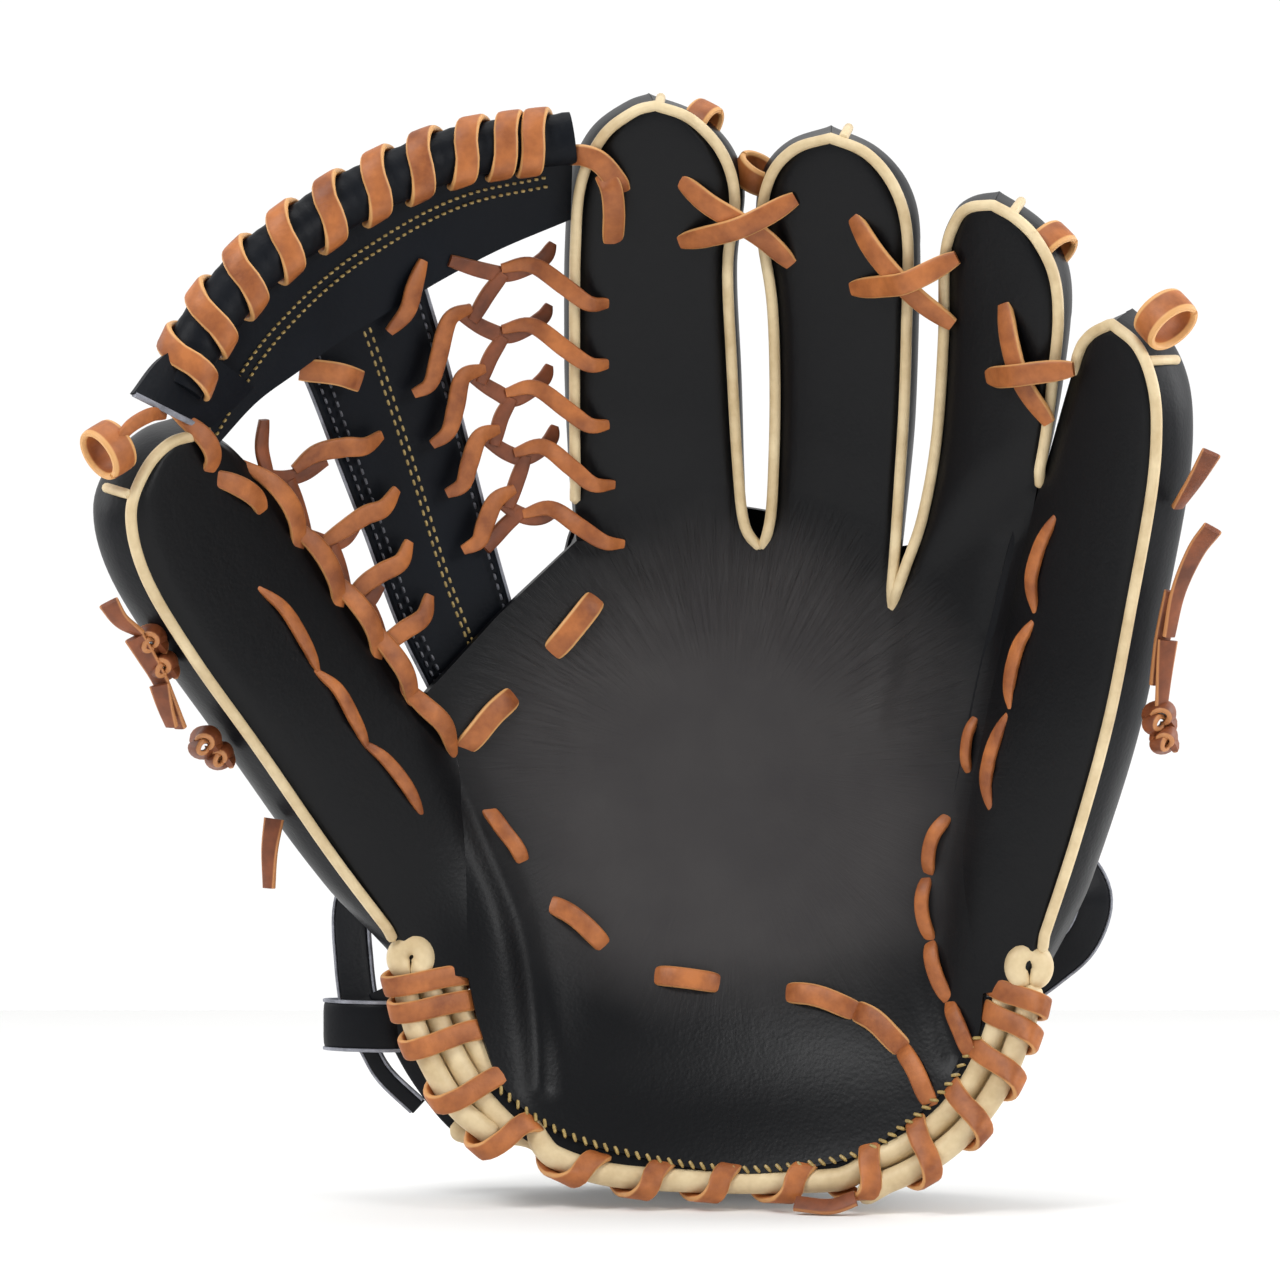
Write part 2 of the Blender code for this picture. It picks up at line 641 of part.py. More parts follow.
def make_tails(thumb_pivot, little_pivot):
    """The lace ends that come out of the stalls' outer sides, each with its knot."""
    tails = {
        "thumb_tail": (thumb_pivot, -1, ((-149, 172), (-143, 157), (-135, 143), (-127, 133))),
        "little_tail": (little_pivot, 1, ((146.5, 192), (145.5, 176), (142, 159), (138, 146))),
    }
    for name, (pivot, side, route) in tails.items():
        flat = through(route, 9)
        depth = front_depth(flat[:, 0], flat[:, 1]) + 0.55 * SIDE_DEPTH
        spots = lift(flat[:, 0], flat[:, 1], depth)
        strap(name, spots, np.broadcast_to((float(side), 0.3, 0.0), spots.shape),
              LACE_WIDTH * 0.8, LACE_THICKNESS, tan_lace(), pivot)


# Laces that lie on the leather ---------------------------------------------------------------

def surface_lace(name, points, count, pivot=None, proud=0.0, width=LACE_WIDTH):
    """A flat lace along a chosen pattern route, lying on the front leather."""
    spots, normal = on_surface(through(points, count), LACE_THICKNESS / 2 + 2 * GAP + proud)
    strap(name, spots, normal, width, LACE_THICKNESS, tan_lace(), pivot)


POCKET_LACE = ((-21, 164), (-32, 152), (-43, 138), (-40, 119), (-33, 100), (-24, 86), (-8, 74),
               (12, 64), (32, 61), (50, 60), (64, 51), (72, 42), (74, 34))
LITTLE_PALM_LACE = ((83, 102), (79.5, 88), (79, 74), (82, 58), (85, 50))
TIP_CROSSES = {
    "index_middle": (((11, 286), (41, 265)), ((10, 268.5), (41, 284))),
    "middle_ring": (((58, 273), (83, 246)), ((57, 255), (86, 264))),
    "ring_little": (((97, 255), (107, 224)), ((94, 236), (111, 236))),
}
CORNER_LACE = ((-19, 284), (-10, 282), (-8.5, 276), (-8.5, 262))
THUMB_FACE_LACE = ((-104, 172), (-93, 156), (-83, 138), (-75, 122), (-65, 110))
LITTLE_FACE_LACE = ((109.5, 188), (106, 166), (99.5, 140), (96.5, 115))


def make_surface_laces(thumb_pivot, little_pivot):
    surface_lace("pocket_lace", POCKET_LACE, 34)
    surface_lace("little_side_palm_lace", LITTLE_PALM_LACE, 10)
    surface_lace("index_corner_lace", CORNER_LACE, 9, None, STALLS["index"]["crown"])
    for name, ((low_a, low_b), (high_a, high_b)) in TIP_CROSSES.items():
        over = STALLS["middle"]["crown"] + 1.2 * MM
        parts = {"under": (low_a, low_b, over), "over": (high_a, high_b, over + LACE_THICKNESS + GAP * 4)}
        for layer, (start, end, proud) in parts.items():
            middle = ((start[0] + end[0]) / 2, (start[1] + end[1]) / 2)
            surface_lace(f"tip_lace_{name}_{layer}", (start, middle, end), 7, None, proud,
                         LACE_WIDTH * 0.8)
    surface_lace("thumb_face_lace", THUMB_FACE_LACE, 14, thumb_pivot, STALLS["thumb"]["crown"])
    surface_lace("little_face_lace", LITTLE_FACE_LACE, 12, little_pivot, STALLS["little"]["crown"] + MM)


# The back of the hand ------------------------------------------------------------------------

def make_back_panel():
    """The back leather, an arch round the opening over the back of the hand."""
    angle = np.radians(np.linspace(-22, 202, 21))
    share = np.linspace(0, 1, 5)[:, None]
    inner = np.stack([HAND_CENTRE_X + 33 * np.cos(angle), 84 + 34 * np.sin(angle)], -1)
    power = 2 / 3.4
    rise = np.where(angle * (math.pi - angle) > 0, 99, 26)
    outer = np.stack([HAND_CENTRE_X + 66 * np.sign(np.cos(angle)) * np.abs(np.cos(angle)) ** power,
                      84 + rise * np.sign(np.sin(angle)) * np.abs(np.sin(angle)) ** power], -1)
    flat = inner[None] * (1 - share[..., None]) + outer[None] * share[..., None]
    outside = lift(flat[..., 0], flat[..., 1], back_depth(flat[..., 0], flat[..., 1]))
    slab("back_panel", outside, outside - (0, LEATHER, 0), black_leather())


def cuff_path(angle):
    """The cuff seen from above: its pattern x and its depth, from the thumb side to the little one."""
    x = CUFF_CENTRE_X - CUFF_HALF_X * np.cos(angle)
    along = (x - CUFF_CENTRE_X + CUFF_HALF_X) / (2 * CUFF_HALF_X)
    base = CUFF_THUMB_Y + (CUFF_LITTLE_Y - CUFF_THUMB_Y) * along
    return x, base + CUFF_DEPTH * np.sin(angle) ** CUFF_ROUNDNESS


def cuff_sheet(first, last, low, high, proud, columns=17, rows=3):
    """A grid of a band round the cuff between two angles in degrees, proud of the cuff's outside."""
    angle = np.radians(np.linspace(first, last, columns))
    x, depth = cuff_path(angle)
    line = lift(x, 0, depth)
    tangent = unit(np.gradient(line, axis=0))
    outward = np.cross(tangent, (0, 0, -1))
    rise = CUFF_END_RISE * np.clip(2 * np.abs(np.cos(angle)) - 1, 0, 1) ** 2
    share = np.linspace(0, 1, rows)[:, None]
    z = low + (high - low) * share + rise
    line = line + outward * proud
    up = lift(0, z, 0) * (0, 0, 1)
    return line[None] * (1, 1, 0) + up, outward[None] * np.ones((rows, 1, 1))


def cuff_layer(name, first, last, low, high, outside, thickness, finish, pivot=None, columns=17):
    outer, outward = cuff_sheet(first, last, low, high, outside, columns)
    slab(name, outer, outer - outward * thickness, finish, pivot)


def make_wrist():
    """The padded wrist liner, the cuff, the strap over it with its patch, and the side strap."""
    inside = -LEATHER - 2 * GAP
    cuff_layer("wrist_cuff", 8, 172, 0, CUFF_HEIGHT, 0, LEATHER, black_leather())
    cuff_layer("wrist_liner", 12, 168, 2, CUFF_HEIGHT, inside, LEATHER, lining_leather())
    outside = STRAP_THICKNESS + 2 * GAP
    cuff_layer("wrist_strap", 14, 160, STRAP_LOW, STRAP_LOW + STRAP_HEIGHT, outside,
               STRAP_THICKNESS, black_leather())
    outside = STRAP_THICKNESS + PATCH_THICKNESS + 4 * GAP
    cuff_layer("loop_patch", 82, 118, STRAP_LOW + 5, STRAP_LOW + 25, outside,
               PATCH_THICKNESS, lining_leather(), None, 7)


def make_tab(pivot):
    """The pull tab of the strap, with the hook patch under it, on its fold at the thumb side."""
    cuff_layer("strap_tab", TAB_ANGLE + 1.5, 124, STRAP_LOW + 2, STRAP_LOW + 28, TAB_PROUD,
               STRAP_THICKNESS, black_leather(), pivot, 11)
    under = TAB_PROUD - STRAP_THICKNESS - 2 * GAP
    cuff_layer("hook_patch", 84, 116, STRAP_LOW + 6, STRAP_LOW + 24, under,
               PATCH_THICKNESS, lining_leather(), pivot, 7)


def make_side_strap():
    """The adjusting strap at the thumb side of the wrist, its keeper loop and its free end."""
    places = through(((-84, 88, 29), (-86.5, 72, 25), (-84, 58, 16), (-82, 46, 13)), 12)
    spots = lift(places[:, 0], places[:, 1], places[:, 2] * MM)
    facing = np.broadcast_to((-0.35, -1.0, 0.0), spots.shape)
    strap("side_strap", spots, facing, SIDE_STRAP_WIDTH, STRAP_THICKNESS, black_leather())
    places = through(((-80.5, 40.5, 13), (-75, 33, 13), (-67, 26, 12)), 8)
    spots = lift(places[:, 0], places[:, 1], places[:, 2] * MM)
    facing = np.broadcast_to((-0.35, -1.0, 0.0), spots.shape)
    strap("side_strap_end", spots, facing, SIDE_STRAP_WIDTH / 2, STRAP_THICKNESS, black_leather())
    angle = np.radians(np.linspace(100, 430, 23))
    half = pattern(SIDE_STRAP_WIDTH / 2 + STRAP_THICKNESS / 2 + 6 * GAP)
    deep = STRAP_THICKNESS + 8 * GAP
    place = KEEPER_PLACE
    spots = lift(place[0] + half * np.cos(angle), place[1] + 0 * angle,
                 place[2] + deep * np.sin(angle) - 0.35 * half * MM * np.cos(angle))
    outward = np.stack([np.cos(angle) * deep, np.sin(angle) * half * MM, 0 * angle], -1)
    strap("strap_keeper", spots, unit(outward), KEEPER_WIDTH, STRAP_THICKNESS, black_leather())
    places = through(((117, 92, 4), (122, 84, 8), (121, 74, 10), (117, 68, 9)), 9)
    spots = lift(places[:, 0], places[:, 1], places[:, 2] * MM)
    facing = np.broadcast_to((0.5, -1.0, 0.0), spots.shape)
    strap("little_side_strap", spots, facing, SIDE_STRAP_WIDTH, STRAP_THICKNESS, black_leather())


def tab_fold():
    """The foot of the line the tab turns about, in the middle of its thickness."""
    place, outward = cuff_sheet(TAB_ANGLE, TAB_ANGLE + 1, STRAP_LOW, STRAP_LOW + STRAP_HEIGHT,
                                TAB_PROUD - STRAP_THICKNESS / 2, 2, 2)
    return place[0, 0]


def make_side_walls():
    """The leather that joins the palm to the back of the hand beside the thumb and little stalls."""
    edges, inners = palm_outline(17, 13, 0.4), palm_outline(17, 13, 2.6)
    columns = {"hand_side_thumb": 0, "hand_side_little": -1}
    share = np.linspace(0, 1, 4)[None]
    for name, column in columns.items():
        edge, inner = edges[1:-2, column], inners[1:-2, column]
        start = LEATHER + 2 * GAP
        deep = start + (SIDE_DEPTH - LEATHER - 2 * GAP - start) * share
        grids = []
        for line in (edge, inner):
            x, z = line[:, :1], line[:, 1:]
            grids.append(lift(x + 0 * share, z + 0 * share, front_depth(x, z) + deep))
        slab(name, grids[0], grids[1], black_leather())


def make_pivot(name, place):
    pivot = bpy.data.objects.new(name, None)
    pivot.location = Vector(place)
    bpy.context.scene.collection.objects.link(pivot)
    bpy.context.view_layer.update()
    return pivot


def main():
    clear_scene()
    thumb_foot = lift(*THUMB_FOLD[0], THUMB_FOLD_Y)
    little_foot = lift(*LITTLE_FOLD[0], LITTLE_FOLD_Y[0])
    thumb = make_pivot("thumb_fold", thumb_foot)
    little = make_pivot("little_fold", little_foot)
    tab = make_pivot("strap_fold", tab_fold())
    make_palm()
    for name in ("index", "middle", "ring"):
        make_stall(name)
    make_stall("thumb", thumb, welt=(-0.97, 0.12))
    make_stall("little", little, welt=(-0.08, 0.97))
    make_stay("thumb_stay", "thumb", 0.45, thumb)
    make_stay("little_stay", "little", 0.5, little)
    make_heel()
    make_heel_lace()
    make_web(thumb)
    make_surface_laces(thumb, little)
    make_back_panel()
    make_side_walls()
    make_gusset(thumb)
    make_tails(thumb, little)
    make_wrist()
    make_side_strap()
    make_tab(tab)


main()
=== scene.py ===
import math
import bpy
import numpy as np
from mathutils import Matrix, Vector


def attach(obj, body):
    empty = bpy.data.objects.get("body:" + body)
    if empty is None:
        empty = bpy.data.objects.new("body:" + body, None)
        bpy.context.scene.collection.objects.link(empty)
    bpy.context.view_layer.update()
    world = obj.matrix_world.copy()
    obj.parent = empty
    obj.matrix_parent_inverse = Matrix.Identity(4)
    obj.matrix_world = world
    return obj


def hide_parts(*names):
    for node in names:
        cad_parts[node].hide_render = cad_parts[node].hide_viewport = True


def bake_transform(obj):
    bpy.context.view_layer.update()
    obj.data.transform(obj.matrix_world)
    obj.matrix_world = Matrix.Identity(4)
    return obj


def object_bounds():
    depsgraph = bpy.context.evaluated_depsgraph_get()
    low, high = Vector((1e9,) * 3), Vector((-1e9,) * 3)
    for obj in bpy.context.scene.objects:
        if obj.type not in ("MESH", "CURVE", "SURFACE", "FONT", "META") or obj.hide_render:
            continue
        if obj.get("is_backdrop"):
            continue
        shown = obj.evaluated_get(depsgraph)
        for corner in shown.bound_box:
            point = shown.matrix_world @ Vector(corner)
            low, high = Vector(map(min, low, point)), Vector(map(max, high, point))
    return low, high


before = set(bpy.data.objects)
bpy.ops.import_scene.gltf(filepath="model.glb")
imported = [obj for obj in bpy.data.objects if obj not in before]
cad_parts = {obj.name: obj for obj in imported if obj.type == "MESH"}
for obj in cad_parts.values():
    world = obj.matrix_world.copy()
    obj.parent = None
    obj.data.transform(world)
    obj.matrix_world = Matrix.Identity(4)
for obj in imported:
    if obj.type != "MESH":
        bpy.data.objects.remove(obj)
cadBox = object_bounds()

# Everything is worked out in millimetres on the glove's flat pattern (x across, z up), then lifted onto
# the cupped front, and turned into metres only when a mesh is made.
cupShape = dict(centreX=1.2, centreY=8.85, pocketBack=11.0, rise=70.0, half=125.0, heelShare=0.62,
                fullZ=150.0, heelRise=28.0, heelTop=120.0, tipCurl=38.0, curlStart=150.0, curlLength=150.0)
studio = dict(cameraAt=(-1.0, -1486.0, 157.7), lens=150.0, floorHalf=800.0, worldFront=0.31, worldBack=1.03,
              lights={
                  "keyLight": dict(at=(-850, -1000, 1150), size=560, power=13, aim=(0, 0, 150)),
                  "fillLight": dict(at=(1000, -900, 700), size=520, power=7, aim=(0, 0, 150)),
                  "rightRim": dict(at=(760, 120, 420), size=420, power=2.4, aim=(60, 0, 170)),
                  "leftRim": dict(at=(-800, 150, 380), size=420, power=1.2, aim=(-60, 0, 150)),
                  "topLight": dict(at=(0, -100, 1300), size=700, power=4, aim=(0, 0, 150)),
              })


def hexColour(text):
    values = np.array([int(text[i:i + 2], 16) / 255 for i in (1, 3, 5)])
    linear = np.where(values > 0.04045, ((values + 0.055) / 1.055) ** 2.4, values / 12.92)
    return (*linear.tolist(), 1.0)


# Adds a node. Settings are its attributes; inputs are values, or (node, output) pairs to link from.
def addNode(tree, kind, inputs=None, **settings):
    made = tree.nodes.new("ShaderNode" + kind)
    for key, value in settings.items():
        setattr(made, key, value)
    for key, value in (inputs or {}).items():
        if isinstance(value, tuple) and isinstance(value[0], bpy.types.Node):
            tree.links.new(value[0].outputs[value[1]], made.inputs[key])
        else:
            made.inputs[key].default_value = value
    return made


def makeStudio():
    cameraData = bpy.data.cameras.new("camera")
    cameraData.lens = studio["lens"]
    cameraData.clip_end = 50
    camera = bpy.data.objects.new("camera", cameraData)
    camera.location = [v * 0.001 for v in studio["cameraAt"]]
    camera.rotation_euler = (math.pi / 2, 0, 0)
    bpy.context.scene.collection.objects.link(camera)
    bpy.context.scene.camera = camera
    for name, light in studio["lights"].items():
        data = bpy.data.lights.new(name, "AREA")
        data.size = light["size"] * 0.001
        data.energy = light["power"]
        lamp = bpy.data.objects.new(name, data)
        lamp.location = [v * 0.001 for v in light["at"]]
        way = Vector([v * 0.001 for v in light["aim"]]) - lamp.location
        lamp.rotation_euler = way.to_track_quat("-Z", "Y").to_euler()
        bpy.context.scene.collection.objects.link(lamp)
    world = bpy.context.scene.world or bpy.data.worlds.new("studioWhite")
    bpy.context.scene.world = world
    world.use_nodes = True
    tree = world.node_tree
    back = tree.nodes["Background"]
    back.inputs["Color"].default_value = (1, 1, 1, 1)
    # white behind the glove and softer light grey in front of it, so that its face isn't flooded
    axes = addNode(tree, "SeparateXYZ", {0: (addNode(tree, "TexCoord"), "Generated")})
    share = addNode(tree, "MapRange", {"Value": (axes, "Y"), "From Min": -0.6, "From Max": 0.5,
                                       "To Min": studio["worldFront"], "To Max": studio["worldBack"]})
    # the plain backdrop itself is white all round
    seen = addNode(tree, "Math", {0: (addNode(tree, "LightPath"), "Is Camera Ray"), 1: (share, 0)},
                   operation="MAXIMUM")
    tree.links.new(seen.outputs[0], back.inputs["Strength"])
    bpy.context.scene.view_settings.view_transform = "Standard"


def smooth(t):
    t = np.clip(t, 0, 1)
    return t * t * (3 - 2 * t)


def unit(v):
    return v / np.maximum(np.linalg.norm(v, axis=-1, keepdims=True), 1e-9)


# Depth of the open glove's front: a pocket that rises as the square of x, a heel and fingertips that come
# forward as the square of their height past a line. Negative is towards the front.
def frontDepth(x, z):
    s = cupShape
    cup = s["rise"] * (s["heelShare"] + (1 - s["heelShare"]) * smooth(z / s["fullZ"])) * (x / s["half"]) ** 2
    curl = s["tipCurl"] * np.clip((z - s["curlStart"]) / s["curlLength"], 0, None) ** 2
    heel = s["heelRise"] * np.clip((s["heelTop"] - z) / s["heelTop"], 0, 1) ** 2
    return s["pocketBack"] - cup - curl - heel


# The web hangs a little behind the cup, like a pocket.
def webDepth(x, z):
    return frontDepth(x, z) + 3.0


def lift(x, z, depth):
    x, z, depth = np.broadcast_arrays(np.asarray(x, float), np.asarray(z, float), depth)
    return np.stack([x + cupShape["centreX"], depth + cupShape["centreY"], z], axis=-1)


# Points on a smooth curve (Catmull-Rom) through a few chosen ones, evenly spaced along it.
def through(points, count):
    points = np.asarray(points, float)
    padded = np.vstack([2 * points[0] - points[1], points, 2 * points[-1] - points[-2]])
    t = np.linspace(0, 1, 16)[:-1, None]
    found = [0.5 * (2 * b + (c - a) * t + (2 * a - 5 * b + 4 * c - d) * t**2 + (3 * b - a - 3 * c + d) * t**3)
             for a, b, c, d in zip(padded[:-3], padded[1:-2], padded[2:-1], padded[3:])]
    return atShares(np.vstack(found + [points[-1:]]), np.linspace(0, 1, count))


def lengthAlong(path):
    return np.r_[0, np.cumsum(np.linalg.norm(np.diff(path, axis=0), axis=1))]


# Points at some shares of a path's length.
def atShares(path, shares):
    along = lengthAlong(path)
    return np.stack([np.interp(shares * along[-1], along, path[:, k]) for k in range(path.shape[1])], -1)


# Share of a path's length at the points of it nearest to some spots.
def sharesAt(path, spots):
    along = lengthAlong(path)
    gap = np.linalg.norm(path[None] - np.asarray(spots, float)[:, None], axis=-1)
    return along[gap.argmin(axis=1)] / along[-1]


# The part of a path between the points of it nearest to two spots.
def between(path, first, last, count):
    low, high = sharesAt(path, [first, last])
    return atShares(path, np.linspace(low, high, count))


# Distance from grid points to a curve, as the least over its points.
def distanceTo(x, z, line):
    line = through(line, 60)
    spots = np.stack([x, z], -1)
    return np.sqrt(((spots[..., None, :] - line) ** 2).sum(-1)).min(-1)


# The relief of the palm: two heel pads and the pocket as round bumps, and creases as narrow grooves.
# A pad is (x, z, half width, half height, rise); a crease is its points, then its depth and half width.
reliefShape = dict(
    pads=((-41, 74, 15, 30, 4.5), (92, 84, 9, 32, 3.0), (22, 34, 58, 14, 2.4), (24, 126, 50, 36, -3.0),
          (44, 182, 26, 14, 1.2)),
    creases=(((-57, 130), (-46, 104), (-36, 78), (-31, 48), (-30, 34), 2.2, 4.0),
             ((99, 184), (91, 142), (83, 100), (80, 66), (85, 44), 1.8, 4.2),
             ((31, 184), (32, 172), (36, 158), 1.3, 3.0),
             ((67, 168), (67, 152), (64, 136), 1.5, 3.4),
             ((-20, 186), (-12, 178), (2, 172), 0.5, 4.0),
             ((105, 194), (99, 176), (95, 160), 1.0, 3.0)))


def relief(x, z):
    total = np.zeros(np.broadcast(x, z).shape)
    for cx, cz, wide, tall, height in reliefShape["pads"]:
        total = total + height * np.exp(-((x - cx) / wide) ** 2 - ((z - cz) / tall) ** 2)
    for *line, depth, width in reliefShape["creases"]:
        total = total - depth * np.exp(-(distanceTo(x, z, line) / width) ** 2)
    return total


def palmDepth(x, z):
    return frontDepth(x, z) - relief(x, z)


# Points proud of a surface given by a depth function, along its normal, with the normals.
def onSurface(flat, proud, depthOf=frontDepth):
    x, z, step = flat[..., 0], flat[..., 1], 0.6
    slopeX = (depthOf(x + step, z) - depthOf(x - step, z)) / (2 * step)
    slopeZ = (depthOf(x, z + step) - depthOf(x, z - step)) / (2 * step)
    normal = unit(np.stack([slopeX, -np.ones_like(x), slopeZ], -1))
    return lift(x, z, depthOf(x, z)) + normal * np.asarray(proud)[..., None], normal


# Each mesh builder gives (points in mm, faces as lists of indices, uv in mm per point).
def joined(parts):
    points, faces, uvs, offset = [], [], [], 0
    for p, f, uv in parts:
        points.append(p)
        uvs.append(uv)
        faces += [tuple(i + offset for i in face) for face in f]
        offset += len(p)
    return np.vstack(points), faces, np.vstack(uvs)


# The quads between neighbouring rows and columns of a grid of point numbers.
def gridFaces(index):
    quads = np.stack([index[:-1, :-1], index[:-1, 1:], index[1:, 1:], index[1:, :-1]], -1).reshape(-1, 4)
    return [tuple(q) for q in quads.tolist()]


# The faces of a tube of rings: its quads all round, and a face over each end.
def tubeFaces(count, around):
    index = np.arange(count * around).reshape(count, around)
    ends = [tuple(index[0][::-1].tolist()), tuple(index[-1].tolist())]
    return gridFaces(np.hstack([index, index[:, :1]])) + ends


# Which way a grid's surface faces: (direction of columns) x (direction of rows).
def gridNormals(grid):
    return unit(np.cross(np.gradient(grid, axis=1), np.gradient(grid, axis=0)))


# A sheet between an outer grid and an inner one, with a rim along each of its four edges.
def wallMesh(outer, back):
    rows, columns = outer.shape[:2]
    count = rows * columns
    index = np.arange(count).reshape(rows, columns)
    faces = gridFaces(index) + gridFaces(index[:, ::-1] + count)
    for rim in (index[0], index[:, 0][::-1], index[:, -1], index[-1][::-1]):
        faces += [(a, a + count, b + count, b) for a, b in zip(rim[:-1].tolist(), rim[1:].tolist())]
    across, up = lengthAlong(outer[rows // 2]), lengthAlong(outer[:, columns // 2])
    uv = np.stack(np.meshgrid(across, up), -1).reshape(-1, 2)
    return np.vstack([outer.reshape(-1, 3), back.reshape(-1, 3)]), faces, np.vstack([uv, uv])


# A sheet with thickness: the outer grid and the same grid moved back along its normals. Where an outward
# way is given, the grid is turned so that it faces that way.
def sheetMesh(outer, thickness, outward=None):
    if outward is not None and (gridNormals(outer) * outward).sum() < 0:
        outer = outer[:, ::-1]
    return wallMesh(outer, outer - gridNormals(outer) * thickness)


frontWay = (0.0, -1.0, 0.0)


# A profile carried along a path: rings of points offset by side and up, closed with a face at each end.
def sweepMesh(path, normals, profile, scale=None):
    path = np.asarray(path, float)
    tangent = unit(np.gradient(path, axis=0))
    side = unit(np.cross(tangent, normals))
    up = np.cross(side, tangent)
    scale = np.ones((len(path), 2)) if scale is None else scale
    ring = (path[:, None] + side[:, None] * (profile[None, :, :1] * scale[:, None, :1])
            + up[:, None] * (profile[None, :, 1:] * scale[:, None, 1:]))
    count, around = len(path), len(profile)
    uv = np.stack([np.repeat(lengthAlong(path), around), np.tile(profile[:, 0], count)], -1)
    return ring.reshape(-1, 3), tubeFaces(count, around), uv


def roundProfile(radius, sides=12):
    angle = np.linspace(0, 2 * math.pi, sides, endpoint=False)
    return radius * np.stack([np.cos(angle), np.sin(angle)], -1)


# A flat strip's section: a superellipse, so that its edges are rounded and its faces nearly flat.
def flatProfile(width, thickness, sides=14):
    angle = np.linspace(0, 2 * math.pi, sides, endpoint=False) + math.pi / sides
    wide = np.sign(np.cos(angle)) * np.abs(np.cos(angle)) ** 0.42
    high = np.sign(np.sin(angle)) * np.abs(np.sin(angle)) ** 0.6
    return np.stack([width / 2 * wide, thickness / 2 * high], -1)


# Round cord along a path, whose ends shrink to a dome.
def cordMesh(path, radius, sides=12, reference=frontWay):
    along = lengthAlong(path)
    left = np.minimum(along, along[-1] - along) / radius
    size = np.sqrt(np.clip(1 - (1 - np.clip(left, 0, 1)) ** 2, 0.02, 1))
    return sweepMesh(path, reference, roundProfile(radius, sides), np.stack([size, size], -1))


# Stitches along a path: one short capsule of six sides for each, laid on the surface, its ends dipping in.
# "turn" leans each stitch away from the path's direction, in radians.
def stitchMesh(path, normals, pitch=3.2, share=0.74, radius=0.42, proud=0.15, turn=0.0):
    along = lengthAlong(path)
    count = max(int(along[-1] / pitch), 1)
    middle = (np.arange(count) + 0.5) * along[-1] / count
    half = pitch * share / 2
    centre, before, after, up = (
        np.stack([np.interp(where, along, values[:, k]) for k in range(3)], -1)
        for where, values in ((middle, path), (middle - half, path), (middle + half, path), (middle,
                                                                                             normals)))
    up, tangent = unit(up), unit(after - before)
    side = np.cross(tangent, up)
    tangent, side = (tangent * math.cos(turn) + side * math.sin(turn),
                     side * math.cos(turn) - tangent * math.sin(turn))
    steps = np.array([-1.0, -0.8, -0.3, 0.3, 0.8, 1.0])
    rise = np.array([-1.1, -0.15, 0.1, 0.1, -0.15, -1.1]) * radius
    size = np.array([0.35, 0.85, 1.0, 1.0, 0.85, 0.35]) * radius
    angle = np.linspace(0, 2 * math.pi, 6, endpoint=False)
    ring = (centre[:, None, None] + tangent[:, None, None] * (steps * half)[None, :, None, None]
            + up[:, None, None] * (rise[:, None] + proud + size[:, None] * np.sin(angle))[None, :, :, None]
            + side[:, None, None] * (size[:, None] * np.cos(angle))[None, :, :, None])
    faces = [tuple(i + 36 * k for i in face) for k in range(count) for face in tubeFaces(6, 6)]
    points = ring.reshape(-1, 3)
    return points, faces, np.zeros((len(points), 2))


# The thumb's and the little finger's fold lines: (start, end) in mm. Only which stalls are listed is read;
# nothing bends about them.
foldBlend = {
    "thumb": ((-38.0, 0.0, 152.0), (-48.0, 0.0, 153.3)),
    "little": ((94.6, 0.0, 152.0), (102.6, 0.0, 150.9)),
}


# Turns a mesh outside out by its signed volume, and makes it a piece that rides on a body, or, where a bend
# is given, one whose transform is baked in and that rides on no body. Its slot is the one of its finish.
def makePiece(name, mesh, finish, body="hand", replaces=(), bend=None, sharp=40):
    points, faces, uv = mesh
    first = np.array([f[:3] for f in faces])
    origin = points.mean(axis=0)
    a, b, c = (points[first[:, k]] - origin for k in range(3))
    weight = np.array([len(f) - 2 for f in faces])
    if (np.einsum("ij,ij->i", a, np.cross(b, c)) * weight).sum() < 0:
        faces = [tuple(reversed(f)) for f in faces]
    data = bpy.data.meshes.new(name)
    data.from_pydata((points * 0.001).tolist(), [], faces)
    layer = data.uv_layers.new(name="along")
    corner = np.empty(len(data.loops), dtype=np.int32)
    data.loops.foreach_get("vertex_index", corner)
    layer.data.foreach_set("uv", (uv[corner] * 0.001).astype(np.float32).ravel())
    data.shade_smooth()
    data.set_sharp_from_angle(angle=math.radians(sharp))
    data.materials.append(finish)
    piece = bpy.data.objects.new(name, data)
    bpy.context.scene.collection.objects.link(piece)
    if bend:
        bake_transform(piece)
    else:
        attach(piece, body)
    if replaces:
        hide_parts(*replaces)
    return piece


makeStudio()
print("studio ready")


def startFinish(name):
    material = bpy.data.materials.new(name)
    material.use_nodes = True
    material.node_tree.nodes.remove(material.node_tree.nodes["Principled BSDF"])
    return material, material.node_tree


def endFinish(tree, inputs):
    shader = addNode(tree, "BsdfPrincipled", inputs)
    tree.links.new(shader.outputs[0], tree.nodes["Material Output"].inputs["Surface"])


